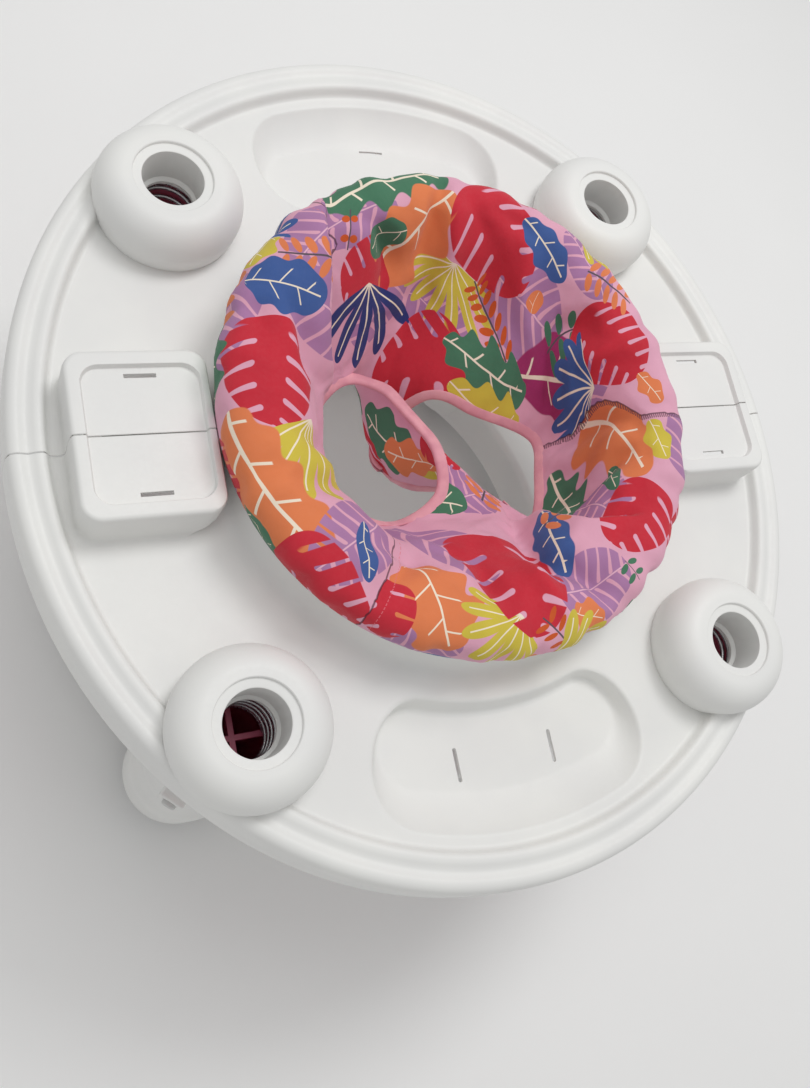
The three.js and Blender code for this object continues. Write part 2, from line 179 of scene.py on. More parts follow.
class Surface:
    """Collects vertices and faces in millimetres and turns them into a Blender mesh."""

    def __init__(self):
        self.points, self.faces = [], []

    def add(self, points):
        start = len(self.points)
        self.points.extend(np.asarray(points, float).tolist())
        return list(range(start, len(self.points)))

    def bridge(self, a, b):
        for i in range(len(a)):
            j = (i + 1) % len(a)
            self.faces.append((a[i], a[j], b[j], b[i]))

    def loft(self, loops):
        rows = [self.add(loop) for loop in loops]
        for a, b in zip(rows, rows[1:]):
            self.bridge(a, b)

    def fill(self, outlines, z, extra=()):
        """A flat face field at height z inside the first outline and outside the others."""
        points, edges = [], []
        for outline in outlines:
            edges += closed_edges(len(points), len(outline))
            points += [Vector((p[0], p[1])) for p in outline]
        points += [Vector(p) for p in extra]
        flat, faces = triangulate(points, edges, outlines)
        index = self.add([(x, y, z) for x, y in flat])
        self.faces += [tuple(index[k] for k in face) for face in faces]

    def object(self, name, up=None):
        mesh = bpy.data.meshes.new(name)
        mesh.from_pydata([[c * MM for c in p] for p in self.points], [], self.faces)
        bm = bmesh.new()
        bm.from_mesh(mesh)
        bmesh.ops.remove_doubles(bm, verts=bm.verts, dist=WELD * MM)
        bmesh.ops.recalc_face_normals(bm, faces=bm.faces)
        if up is not None and sum(f.normal.z * f.calc_area() for f in bm.faces) * up < 0:
            bmesh.ops.reverse_faces(bm, faces=bm.faces)
        bm.to_mesh(mesh)
        bm.free()
        return place_object(name, mesh)


def lathe(name, profile, at=(0, 0, 0), segments=96, axis="Z"):
    """A closed profile of (radius, height along the axis) turned about an axis through a point."""
    surface = Surface()
    rows = [surface.add(ring(max(r, 0.0), z, segments)) for r, z in profile]
    for a, b in zip(rows, rows[1:] + rows[:1]):
        surface.bridge(a, b)
    piece = surface.object(name)
    clean(piece)
    turn = {"Z": Matrix.Identity(4), "X": Matrix.Rotation(math.pi / 2, 4, "Y")}[axis]
    piece.data.transform(Matrix.Translation(Vector(at) * MM) @ turn)
    return piece


def clean(piece):
    bm = bmesh.new()
    bm.from_mesh(piece.data)
    bmesh.ops.dissolve_degenerate(bm, edges=bm.edges, dist=1e-7)
    bmesh.ops.recalc_face_normals(bm, faces=bm.faces)
    bm.to_mesh(piece.data)
    bm.free()


def rounded(profile, radius=1.2, steps=3):
    """The closed profile with each corner replaced by a small arc."""
    p = np.array(profile, float)
    out = []
    for i in range(len(p)):
        a, b, c = p[i - 1], p[i], p[(i + 1) % len(p)]
        back, ahead = a - b, c - b
        reach = min(radius, np.linalg.norm(back) * 0.45, np.linalg.norm(ahead) * 0.45)
        if b[0] < 0.01 or reach < 0.02:
            out.append(b)
            continue
        start = b + back / np.linalg.norm(back) * reach
        end = b + ahead / np.linalg.norm(ahead) * reach
        for k in range(steps + 1):
            t = k / steps
            out.append((1 - t) ** 2 * start + 2 * t * (1 - t) * b + t ** 2 * end)
    return [tuple(q) for q in out]


def block(name, low, high, bevel=2.0):
    """A box with rounded edges, between two corners in millimetres."""
    bm = bmesh.new()
    bmesh.ops.create_cube(bm, size=1)
    size, middle = np.subtract(high, low), (np.array(high, float) + low) / 2
    for v in bm.verts:
        v.co = Vector([(v.co[k] * size[k] + middle[k]) * MM for k in range(3)])
    bmesh.ops.bevel(bm, geom=bm.edges[:], offset=bevel * MM, segments=3, profile=0.5, affect="EDGES")
    mesh = bpy.data.meshes.new(name)
    bm.to_mesh(mesh)
    bm.free()
    return place_object(name, mesh)


def apply_modifiers(piece):
    evaluated = piece.evaluated_get(bpy.context.evaluated_depsgraph_get())
    mesh = bpy.data.meshes.new_from_object(evaluated)
    piece.modifiers.clear()
    piece.data = mesh


def boolean(piece, other, operation):
    modifier = piece.modifiers.new("cut", "BOOLEAN")
    modifier.operation = operation
    modifier.solver = "EXACT"
    modifier.object = other
    apply_modifiers(piece)
    bpy.data.objects.remove(other)


def solidify(piece, thickness):
    modifier = piece.modifiers.new("wall", "SOLIDIFY")
    modifier.thickness = thickness * MM
    modifier.offset = -1.0
    apply_modifiers(piece)


def shade(piece, angle=35):
    piece.data.shade_smooth()
    piece.data.set_sharp_from_angle(angle=math.radians(angle))
    modifier = piece.modifiers.new("normals", "WEIGHTED_NORMAL")
    modifier.keep_sharp = True


def finish_piece(piece, body, material, replaces=(), angle=35):
    shade(piece, angle)
    piece.data.materials.clear()
    piece.data.materials.append(material)
    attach(piece, body)
    if replaces:
        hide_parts(*replaces)


# ---------------------------------------------------------------- materials

class Tree:
    """Short names for building a node tree."""

    def __init__(self, tree):
        self.tree = tree

    def node(self, kind, **settings):
        made = self.tree.nodes.new("ShaderNode" + kind)
        for key, value in settings.items():
            setattr(made, key, value)
        return made

    def link(self, value, socket):
        if isinstance(value, bpy.types.NodeSocket):
            self.tree.links.new(value, socket)
        else:
            socket.default_value = value

    def math(self, operation, *values):
        made = self.node("Math", operation=operation)
        for value, socket in zip(values, made.inputs):
            self.link(value, socket)
        return made.outputs[0]

    def plus(self, a, b):
        return self.math("ADD", a, b)

    def minus(self, a, b):
        return self.math("SUBTRACT", a, b)

    def times(self, a, b):
        return self.math("MULTIPLY", a, b)

    def over(self, a, b):
        return self.math("DIVIDE", a, b)

    def size(self, a):
        return self.math("ABSOLUTE", a)

    def length(self, a, b):
        """Length of the line whose two sides are given."""
        return self.math("SQRT", self.plus(self.times(a, a), self.times(b, b)))

    def ramp(self, value, low, high, to_low=0.0, to_high=1.0, smooth=True):
        made = self.node("MapRange", interpolation_type="SMOOTHSTEP" if smooth else "LINEAR")
        names = ("Value", "From Min", "From Max", "To Min", "To Max")
        for key, v in zip(names, (value, low, high, to_low, to_high)):
            self.link(v, made.inputs[key])
        return made.outputs[0]

    def mix(self, factor, a, b, blend="MIX"):
        made = self.node("Mix", data_type="RGBA", blend_type=blend)
        self.link(factor, made.inputs[0])
        self.link(a, made.inputs[6])
        self.link(b, made.inputs[7])
        return made.outputs[2]

    def noise(self, vector, scale, detail=3.0, rough=0.5):
        made = self.node("TexNoise")
        self.link(vector, made.inputs["Vector"])
        made.inputs["Scale"].default_value = scale
        made.inputs["Detail"].default_value = detail
        made.inputs["Roughness"].default_value = rough
        return made.outputs["Fac"]

    def bump(self, height, strength, distance, normal=None):
        made = self.node("Bump")
        made.inputs["Strength"].default_value = strength
        made.inputs["Distance"].default_value = distance
        self.link(height, made.inputs["Height"])
        if normal is not None:
            self.link(normal, made.inputs["Normal"])
        return made.outputs[0]


def new_material(name):
    material = bpy.data.materials.new(name)
    material.use_nodes = True
    return material, Tree(material.node_tree), material.node_tree.nodes["Principled BSDF"]


def rgba(r, g, b):
    """A display colour from 0 to 255 as linear light."""
    return tuple(((c / 255 + 0.055) / 1.055) ** 2.4 if c > 10 else c / 3294.6 for c in (r, g, b)) + (1.0,)


def moulded(name, light, dark, roughness=0.48, grain=0.06):
    """Moulded plastic: two near shades, a fine spark-eroded grain and uneven gloss."""
    material, t, shader = new_material(name)
    place = t.node("TexCoord").outputs["Object"]
    cloud = t.noise(place, 9.0, 3.0)
    t.link(t.mix(t.ramp(cloud, 0.35, 0.65), light, dark), shader.inputs["Base Color"])
    fine = t.noise(place, 1500.0, 2.0)
    coarse = t.noise(place, 420.0, 2.0)
    t.link(t.ramp(coarse, 0.3, 0.7, roughness - 0.05, roughness + 0.07), shader.inputs["Roughness"])
    height = t.plus(t.times(coarse, 0.6), fine)
    t.link(t.bump(height, grain, 0.0006), shader.inputs["Normal"])
    shader.inputs["IOR"].default_value = 1.49
    return material


def metal(name, colour, roughness=0.25):
    """Drawn steel with a slightly uneven tone and gloss."""
    material, t, shader = new_material(name)
    place = t.node("TexCoord").outputs["Object"]
    dark = tuple(c * 0.7 for c in colour[:3]) + (1.0,)
    t.link(t.mix(t.noise(place, 240.0), colour, dark), shader.inputs["Base Color"])
    t.link(t.ramp(t.noise(place, 600.0), 0.3, 0.7, roughness, roughness + 0.15), shader.inputs["Roughness"])
    shader.inputs["Metallic"].default_value = 1.0
    t.link(t.bump(t.noise(place, 900.0), 0.08, 0.0004), shader.inputs["Normal"])
    return material


def rubber(name, light, dark):
    material, t, shader = new_material(name)
    place = t.node("TexCoord").outputs["Object"]
    t.link(t.mix(t.ramp(t.noise(place, 60.0, 4.0), 0.4, 0.7), dark, light), shader.inputs["Base Color"])
    t.link(t.ramp(t.noise(place, 300.0), 0.3, 0.7, 0.7, 0.9), shader.inputs["Roughness"])
    t.link(t.bump(t.noise(place, 700.0, 4.0), 0.25, 0.0008), shader.inputs["Normal"])
    return material


WHITE = moulded("white_plastic", rgba(236, 236, 233), rgba(231, 231, 229))
PINK = moulded("pink_plastic", rgba(222, 112, 140), rgba(214, 100, 130), 0.4, 0.05)
CASTER = moulded("caster_plastic", rgba(206, 206, 204), rgba(196, 196, 195), 0.4, 0.05)
STEEL = metal("steel", rgba(205, 206, 208))
RUBBER = rubber("wheel_rubber", rgba(74, 74, 77), rgba(58, 58, 61))


# ---------------------------------------------------------------- tray

def oval(points):
    """Stretches the outer part of the tray along Y, so that the round collar sits in an oval rim."""
    p = np.array(points, float)
    r = np.hypot(p[:, 0], p[:, 1])
    t = np.clip((r - OVAL_FROM) / (OVAL_TO - OVAL_FROM), 0, 1)
    p[:, 1] *= 1 + (RIM_STRETCH - 1) * t * t * (3 - 2 * t)
    return p


RIM_PROFILE = [(FLOOR_OUTER, FLOOR_Z), (328.4, 390.7), (330, 392.8), (331, 396), (332.3, 399),
               (335, 400.5), (338.5, 400.3), (341.5, 399), (344.5, 398.2), (347.5, 399), (351, 400.5),
               (354.5, 400.2), (357.6, 398.2), (359.7, 394.6), (360.9, 389), (361.8, 378), (362.8, 366),
               (363, 358)]
COLLAR_PROFILE = [(FLOOR_INNER, FLOOR_Z), (214.5, 390.8), (209.5, 394), (206.5, 401), (203.5, 414),
                  (201.5, 423), (200, 426), (197, 427), (184, 427), (181.2, 426.2), (180.2, 424), (180, 410),
                  (180, 376)]


def station_loop(sign, out, inner, z):
    """A side block's outline: far side and ends moved out, and the side by the seat at a given place."""
    x0, x1 = sorted((sign * inner, sign * (STATION_OUTER + out)))
    half_y = STATION_HALF_Y + out
    return rounded_rect(x0, -half_y, x1, half_y, 16 + out, z)


def panel_loop(sign, out, z):
    """The outline of the recessed panel in a side block."""
    x0, x1 = sorted((sign * (PANEL_INNER - out), sign * (PANEL_OUTER + out)))
    half_y = PANEL_HALF_Y + out
    return rounded_rect(x0, -half_y, x1, half_y, 14 + out, z)


def add_station(surface, sign):
    """A side block with its panel and two toy slots; returns its outline on the floor."""
    levels = [(7, 224, 390), (4.4, 221, 390.5), (2.6, 217, 392), (1.6, 213, 395), (0.9, 210.5, 404),
              (0.2, 209.6, 418), (-0.4, 209.4, 425), (-1.2, 209.6, 428), (-2.6, 210.4, 429.5),
              (-4.6, 212, 430)]
    walls = [station_loop(sign, out, inner, z) for out, inner, z in levels]
    recess = [(1.2, 430), (0.5, 429.8), (0.1, 429.2), (-0.5, 426.2), (-1.0, 425.3), (-1.9, 425)]
    surface.loft(walls + [panel_loop(sign, out, z) for out, z in recess])
    middle = sign * (PANEL_INNER + PANEL_OUTER) / 2
    slots = []
    for y in (-47.6, 47.6):
        y0, y1 = y - SLOT_HALF_WIDTH, y + SLOT_HALF_WIDTH
        slots.append(rounded_rect(middle - 12.2, y0, middle + 12.2, y1, 0.5, 0, 2, 4))
    surface.fill([panel_loop(sign, -1.9, 0)] + slots, PANEL_Z)
    return walls[0]


def pocket_loop(sign, grow, outer_grow, corner, z):
    """A pocket's outline: a rectangle with round corners bent round the tray."""
    middle, half_width, half_length = 277, 41, 124
    corner = min(corner, half_width + (grow + outer_grow) / 2 - 0.5)
    flat = rounded_rect(-half_length - grow, middle - half_width - grow, half_length + grow,
                        middle + half_width + outer_grow, corner, z, 12, 16)
    angle = flat[:, 0] / middle
    bent = np.stack([np.sin(angle) * flat[:, 1], sign * np.cos(angle) * flat[:, 1], flat[:, 2]], 1)
    return oval(bent)


def add_pocket(surface, sign):
    """A pocket with its slots, two at the front and one at the rear; returns its outline on the floor."""
    levels = [(4, 4, 44, 390), (2.2, 2.2, 42.4, 389.7), (0.8, 0.8, 41.4, 388.8), (0, -0.4, 40.8, 387.2),
              (-2, -6, 39, 382), (-3.6, -14, 36, 377), (-5, -20, 33, 374.2), (-6.6, -24, 31, 372.7),
              (-9, -27, 29, 372)]
    loops = [pocket_loop(sign, *level) for level in levels]
    surface.loft(loops)
    if sign > 0:
        slots = [rounded_rect(-12, 303.2, 12, 306.8, 0.6, 0, 2, 4)]
    else:
        slots = [rounded_rect(x - SLOT_HALF_WIDTH, -296, x + SLOT_HALF_WIDTH, -268, 1.7, 0, 3, 4)
                 for x in (-45, 45)]
    surface.fill([loops[-1]] + slots, POCKET_Z)
    return loops[0]


def near_domes(step=5.0, reach=78.0, limit=318.0):
    """Points on the flat floor round each dome, so that the floor has small faces there."""
    points = []
    for cx, cy in CORNERS.values():
        count = int(reach // step)
        for i in range(-count, count + 1):
            for k in range(-count, count + 1):
                x, y = cx + i * step + (k % 2) * step / 2, cy + k * step * 0.87
                if math.hypot(x - cx, y - cy) < reach and 232 < math.hypot(x, y / RIM_STRETCH) < limit:
                    points.append((x, y))
    return points


def cut_for_domes(bm):
    """Opens the tray under each dome, with a round edge."""
    def distance(co, centre):
        return math.hypot(co.x / MM - centre[0], co.y / MM - centre[1])

    for centre in CORNERS.values():
        inside = [f for f in bm.faces if distance(f.calc_center_median(), centre) < DOME_OPENING - 2]
        bmesh.ops.delete(bm, geom=inside, context="FACES")
        for v in bm.verts:
            away = distance(v.co, centre)
            if v.is_boundary and away < DOME_OPENING + 9 and v.co.z > 0.375:
                v.co.x = (centre[0] + (v.co.x / MM - centre[0]) * DOME_OPENING / away) * MM
                v.co.y = (centre[1] + (v.co.y / MM - centre[1]) * DOME_OPENING / away) * MM


def split_at_seam(bm, side):
    """Keeps one half of the tray, with an eased edge along the seam."""
    for offset, clear in ((2.4, False), (SEAM + 0.5, False), (SEAM, True)):
        geometry = bm.verts[:] + bm.edges[:] + bm.faces[:]
        bmesh.ops.bisect_plane(bm, geom=geometry, dist=1e-6, plane_co=(0, side * offset * MM, 0),
                               plane_no=(0, -side, 0), clear_outer=clear)
    bm.normal_update()
    seam = [v for v in bm.verts if abs(v.co.y - side * SEAM * MM) < 1e-5]
    drops = [(v, v.normal * 0.5 * MM) for v in seam]
    for v, drop in drops:
        v.co -= Vector((drop.x, 0, drop.z))


def make_tray():
    surface = Surface()
    rim = smooth_curve(RIM_PROFILE, 3)
    surface.loft([oval(ring(r, z)) for r, z in rim])
    collar = smooth_curve(COLLAR_PROFILE, 3)
    surface.loft([ring(r, z, COLLAR_SEGMENTS) for r, z in collar])
    holes = [add_station(surface, sign) for sign in (-1, 1)]
    holes += [add_pocket(surface, sign) for sign in (-1, 1)]
    borders = [oval(ring(FLOOR_OUTER, 0)), ring(FLOOR_INNER, 0, COLLAR_SEGMENTS)]
    surface.fill(borders + holes, FLOOR_Z, near_domes())
    whole = surface.object("tray", up=1)
    for name, side in (("tray_front", -1), ("tray_rear", 1)):
        piece = whole.copy()
        piece.data = whole.data.copy()
        piece.name = f"{name}_shell"
        bpy.context.scene.collection.objects.link(piece)
        bm = bmesh.new()
        bm.from_mesh(piece.data)
        cut_for_domes(bm)
        split_at_seam(bm, side)
        bm.to_mesh(piece.data)
        bm.free()
        solidify(piece, WALL)
        finish_piece(piece, "tray", WHITE, [name])
    bpy.data.objects.remove(whole)


def make_domes():
    """Each dome: a rounded cap with a stepped hole, and the collar tube that bears on the spring."""
    cap = [(38.5 + 23.5 * math.cos(a), 408 + 29 * math.sin(a)) for a in np.linspace(0, math.pi / 2, 20)]
    outer = [(51, 374), (54.5, 376), (58, 386), (60.6, 396)] + cap
    hole = [(33.2, 437), (32.5, 436.4), (32.3, 434.3), (26, 434), (25.2, 433.4), (25, 430), (24.6, 402),
            (22, 399), (22, 396), (28, 396), (28, 430)]
    inside = [(40, 433), (52, 424), (58.6, 410), (57.4, 396), (54.8, 386), (51, 377)]
    for name, (x, y) in CORNERS.items():
        piece = lathe(f"dome_{name}_cap", outer + hole + inside, (x, y, 0), 112)
        finish_piece(piece, "tray", WHITE, [f"dome_{name}"])


def make_screw(node):
    """A screw with a socket in its head, pointing up."""
    (x, y, _), (low, high) = centre_of(node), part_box(node)
    top, bottom = high.z / MM, low.z / MM
    head = bottom + 2.6
    profile = [(0, bottom + 1.2), (1.6, bottom + 1.2), (1.8, bottom), (3, bottom), (4.4, bottom + 1.8),
               (4.4, head), (2.2, head), (2.2, top), (0, top)]
    screw = lathe(f"{node}_piece", profile, (x, y, 0), 32)
    finish_piece(screw, "tray", STEEL, [node])


def make_seam_plates():
    """The plates under the side blocks that hold the tray halves together, each with two ribs and screws."""
    for side in ("left", "right"):
        node = f"seam_plate_{side}"
        low, high = corners_of(node)
        middle = centre_of(node)[0]
        plate = block(f"{node}_piece", low, high, 0.8)
        for x in (middle - 12, middle + 12):
            rib = block("rib", (x - 1, low[1] + 2, low[2] - 3), (x + 1, high[1] - 2, low[2] + 1), 0.3)
            boolean(plate, rib, "UNION")
        finish_piece(plate, "tray", WHITE, [node])
        for end in ("front", "rear"):
            make_screw(f"seam_screw_{side}_{end}")


# ---------------------------------------------------------------- legs and base

def base_solid(name, grow, roof, bottom):
    """The base channel's outline: a ring with a round pad under each leg."""
    profile = [(255 - grow, bottom), (257 - grow, 40), (261 - grow, roof - 6), (267 - grow, roof),
               (303 + grow, roof), (309 + grow, roof - 6), (313 + grow, 40), (315 + grow, bottom)]
    piece = lathe(name, rounded(profile, 3), segments=128)
    for x, y in CORNERS.values():
        pad = [(0, bottom), (50 + grow, bottom), (50 + grow, roof), (0, roof)]
        boolean(piece, lathe("pad", rounded(pad, 2), (x, y, 0), 64), "UNION")
    return piece


def make_base():
    """The base ring: a channel open below, with a boss for each caster's stem."""
    piece = base_solid("base_ring_channel", 0, 88, 30)
    boolean(piece, base_solid("hollow", -WALL, 85, 20), "DIFFERENCE")
    for x, y in CORNERS.values():
        boss = lathe("boss", [(5.3, 56), (11, 56), (11, 86.5), (5.3, 86.5)], (x, y, 0), 48)
        boolean(piece, boss, "UNION")
    finish_piece(piece, "base", WHITE, ["base_ring"])


def make_step_stops():
    """Rubber pads under the base ring, each with three grooves across it."""
    for side in ("front", "rear", "left", "right"):
        node = f"step_stop_{side}"
        low, high = corners_of(node)
        stop = block(f"{node}_pad", low, high, 2.5)
        along = 1 if side in ("left", "right") else 0
        across = 1 - along
        for offset in (-9, 0, 9):
            a, b = low.copy(), high.copy()
            middle = (low[along] + high[along]) / 2 + offset
            a[along], b[along] = middle - 1, middle + 1
            a[2], b[2] = low[2] - 2, low[2] + 1.4
            a[across], b[across] = low[across] - 2, high[across] + 2
            boolean(stop, block("groove", a, b, 0.3), "DIFFERENCE")
        finish_piece(stop, "base", RUBBER, [node])


def make_button(name, turn):
    """A height button with a dished face."""
    knob = [(0, -4.5), (6.4, -4.5), (6.9, -4), (6.9, 3), (6, 4.2), (4.6, 4.5), (3, 3.9), (0, 3.6)]
    button = lathe(f"height_button_{name}_knob", rounded(knob, 0.5), (50.5, 0, BUTTON_Z), 48, "X")
    button.data.transform(turn)
    finish_piece(button, f"button_{name}", CASTER, [f"height_button_{name}"])


def make_sleeves():
    """White leg tubes with a foot over the caster and a housing for the height button."""
    profile = [(0, 92.3), (37, 92.3), (37, 232), (41, 232), (41.5, 226), (42.4, 226), (42.6, 148), (45, 132),
               (50, 121), (55, 114), (56, 106), (56, 40), (53, 40), (53, 88.3), (0, 88.3)]
    for name, (x, y) in CORNERS.items():
        sleeve = lathe(f"leg_sleeve_{name}_tube", rounded(profile, 2.2), (x, y, 0), 96)
        turn = Matrix.Translation((x * MM, y * MM, 0)) @ Matrix.Rotation(math.atan2(y, x), 4, "Z")
        housing = block("housing", (39, -12, BUTTON_Z - 12), (51, 12, BUTTON_Z + 12), 2.5)
        housing.data.transform(turn)
        boolean(sleeve, housing, "UNION")
        pocket = lathe("pocket", [(0, -5), (7.3, -5), (7.3, 5), (0, 5)], (47, 0, BUTTON_Z), 48, "X")
        pocket.data.transform(turn)
        boolean(sleeve, pocket, "DIFFERENCE")
        boolean(sleeve, base_solid("notch", 0.4, 88.4, 25), "DIFFERENCE")
        finish_piece(sleeve, "base", WHITE, [f"leg_sleeve_{name}"])
        make_button(name, turn)


def make_posts():
    """Pink tubes with a cross rib that the spring stands on."""
    profile = [(31, 92.6), (POST_OUTER, 92.6), (POST_OUTER, 389), (35, 391.4), (33.5, 392), (31.6, 391.4),
               (31, 390)]
    for name, (x, y) in CORNERS.items():
        post = lathe(f"leg_post_{name}_tube", profile, (x, y, 0), 96)
        for half_x, half_y in ((33, 2.5), (2.5, 33)):
            rib = block("rib", (x - half_x, y - half_y, 318), (x + half_x, y + half_y, 340), 0.6)
            boolean(post, rib, "UNION")
        finish_piece(post, "legs", PINK, [f"leg_post_{name}"])


def make_springs():
    """Compression springs with closed end turns."""
    radius, wire, turns, sides, steps = 25.3, 1.9, 5.5, 14, 330
    foot, top = SPRING_FOOT_Z + wire, SPRING_FOOT_Z + SPRING_LENGTH - wire - 0.5
    around = np.linspace(0, 2 * math.pi, sides, endpoint=False)[:, None]
    for name, (x, y) in CORNERS.items():
        surface, rows = Surface(), []
        for k in range(steps + 1):
            t = k / steps
            angle = t * turns * 2 * math.pi
            rise = np.interp(t * turns, [0, 1, turns - 1, turns], [0, 0.09, 0.91, 1])
            height = foot + rise * (top - foot)
            centre = np.array([math.cos(angle) * radius, math.sin(angle) * radius, height])
            out = np.array([math.cos(angle), math.sin(angle), 0])
            section = np.cos(around) * out + np.sin(around) * np.array([0, 0, 1])
            rows.append(surface.add(centre + wire * section))
        for a, b in zip(rows, rows[1:]):
            surface.bridge(a, b)
        surface.faces += [tuple(rows[0]), tuple(rows[-1])]
        coil = surface.object(f"spring_{name}_coil")
        coil.data.transform(Matrix.Translation((x * MM, y * MM, 0)))
        finish_piece(coil, "legs", STEEL, [f"spring_{name}"], 60)
        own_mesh(coil)


def make_casters():
    """Under each leg a fork with its stem, an axle and a wheel."""
    wheel = [(3.3, -8), (7, -8), (8, -5.5), (15.5, -5.5), (16.5, -8), (20, -8), (22, -6.2), (22, 6.2),
             (20, 8), (16.5, 8), (15.5, 5.5), (8, 5.5), (7, 8), (3.3, 8)]
    for name, (x, y) in CORNERS.items():
        hub = (x, y - WHEEL_TRAIL, AXLE_Z)
        tyre = lathe(f"wheel_{name}_tyre", rounded(wheel, 0.9), hub, 96, "X")
        finish_piece(tyre, f"wheel_{name}", RUBBER, [f"wheel_{name}"])
        axle = [(0, -13.5), (2.6, -13.5), (3, -13), (3, 13), (2.6, 13.5), (0, 13.5)]
        pin = lathe(f"axle_{name}_pin", axle, hub, 32, "X")
        finish_piece(pin, f"caster_{name}", STEEL, [f"axle_{name}"])
        crown = [(0, 46), (16, 46), (17, 47), (17, 49), (16, 50), (6, 50.6), (5, 52), (5, 79), (4, 80),
                 (0, 80)]
        fork = lathe(f"caster_fork_{name}_body", rounded(crown, 0.6), (x, y, 0), 64)
        for side in (-1, 1):
            a, b = sorted((x + side * 9.2, x + side * 12.2))
            boolean(fork, block("cheek", (a, y - 20, 15), (b, y + 7, 48), 1.2), "UNION")
        boolean(fork, lathe("bore", [(0, -20), (3.3, -20), (3.3, 20), (0, 20)], hub, 32, "X"), "DIFFERENCE")
        finish_piece(fork, f"caster_{name}", CASTER, [f"caster_fork_{name}"])


def make_seat_ring():
    """The ring that carries the cloth and turns on the tray's collar, with hooks under it."""
    profile = [(172, 368), (175, 368), (175, 427.3), (203, 427.3), (203, 430.7), (172, 430.7)]
    piece = lathe("seat_ring_frame", rounded(profile, 0.8), segments=160)
    for k in range(HOOKS):
        hook = block("hook", (173, -12, 369), (184, 12, 375), 1)
        hook.data.transform(Matrix.Rotation(SEAT_TURN + math.radians(45 + 360 / HOOKS * k), 4, "Z"))
        boolean(piece, hook, "UNION")
    finish_piece(piece, "seat", WHITE, ["seat_ring"])


# ---------------------------------------------------------------- printed cloth

PINK_CLOTH = rgba(232, 172, 194)
LILAC = rgba(178, 128, 172)
RED = rgba(206, 46, 62)
ORANGE = rgba(232, 132, 84)
GREEN = rgba(74, 124, 96)
BLUE = rgba(66, 96, 158)
NAVY = rgba(46, 56, 118)
YELLOW = rgba(214, 194, 72)
MAGENTA = rgba(166, 50, 106)
RUST = rgba(212, 92, 40)
CREAM = rgba(250, 236, 214)
PALE = rgba(236, 186, 206)


def leaf_group(name, settings):
    """A node group that takes a place on the leaf, whose axis runs along X from -0.5 to 0.5."""
    group = bpy.data.node_groups.new(name, "ShaderNodeTree")
    group.interface.new_socket("Place", in_out="INPUT", socket_type="NodeSocketVector")
    for setting in settings:
        group.interface.new_socket(setting, in_out="INPUT", socket_type="NodeSocketFloat")
    for result in ("Body", "Lines"):
        group.interface.new_socket(result, in_out="OUTPUT", socket_type="NodeSocketFloat")
    t = Tree(group)
    given = group.nodes.new("NodeGroupInput")
    apart = t.node("SeparateXYZ")
    t.link(given.outputs["Place"], apart.inputs[0])
    along = t.plus(apart.outputs[0], 0.5)
    return group, t, along, apart.outputs[1], [given.outputs[s] for s in settings]


def close_group(group, t, body, lines):
    result = group.nodes.new("NodeGroupOutput")
    t.link(body, result.inputs["Body"])
    t.link(lines, result.inputs["Lines"])
    return group


def arch(t, along):
    """4 x (1 - x), and 0 outside 0 to 1."""
    return t.math("MAXIMUM", t.times(t.times(along, 4.0), t.minus(1.0, along)), 0.0)


def side_shift(t, across, amount):
    """amount on one side of the leaf's axis and 0 on the other."""
    return t.times(t.math("GREATER_THAN", across, 0.0), amount)


def lobed_leaf():
    """A leaf with a wavy outline, a midrib and slanting side veins."""
    group, t, along, across, given = leaf_group("lobed_leaf", ("Width", "Lobes", "Wave"))
    width, lobes, wave = given
    off = t.size(across)
    shift = side_shift(t, across, 0.35)
    phase = t.plus(t.times(t.plus(along, t.times(off, 0.3)), lobes), shift)
    ripple = t.plus(1.0, t.times(t.math("SINE", t.times(phase, 2 * math.pi)), wave))
    half = t.times(t.times(t.math("POWER", arch(t, along), 0.55), width), ripple)
    body = t.ramp(t.minus(half, off), 0.0, 0.012)
    slant = t.times(t.minus(along, t.times(off, 0.55)), lobes)
    cell = t.size(t.minus(t.math("FRACT", t.plus(slant, shift)), 0.3))
    side = t.ramp(t.over(cell, lobes), 0.011, 0.007)
    side = t.times(side, t.ramp(t.minus(t.times(half, 0.66), off), 0.0, 0.01))
    side = t.times(side, t.math("LESS_THAN", along, 0.84))
    rib = t.times(t.ramp(off, 0.0125, 0.0085), t.math("LESS_THAN", along, 0.93))
    lines = t.times(t.math("MAXIMUM", side, rib), body)
    return close_group(group, t, body, lines)


def slit_leaf():
    """A broad leaf with slits that run in from its edge; a positive inset keeps them off the midrib."""
    group, t, along, across, given = leaf_group("slit_leaf", ("Width", "Slits", "Inset", "Gap"))
    width, slits, inset, gap = given
    off = t.size(across)
    egg = t.minus(1.12, t.times(along, 0.3))
    half = t.times(t.times(t.math("POWER", arch(t, along), 0.42), width), egg)
    slant = t.minus(along, t.times(off, 0.45))
    cell = t.math("FRACT", t.plus(t.times(slant, slits), side_shift(t, across, 0.45)))
    beside = t.over(t.minus(cell, 0.5), slits)
    start = t.times(half, inset)
    inside = t.math("MINIMUM", t.minus(off, start), 0.0)
    away = t.length(beside, inside)
    outward = t.ramp(t.minus(off, start), 0.0, 0.22, smooth=False)
    room = t.minus(gap, t.times(outward, t.times(gap, 0.45)))
    slit = t.ramp(t.minus(away, room), 0.006, -0.002)
    slit = t.times(slit, t.ramp(along, 0.12, 0.16))
    body = t.times(t.ramp(t.minus(half, off), 0.0, 0.01), t.minus(1.0, slit))
    rib = t.times(t.ramp(off, 0.010, 0.006), body)
    return close_group(group, t, body, rib)


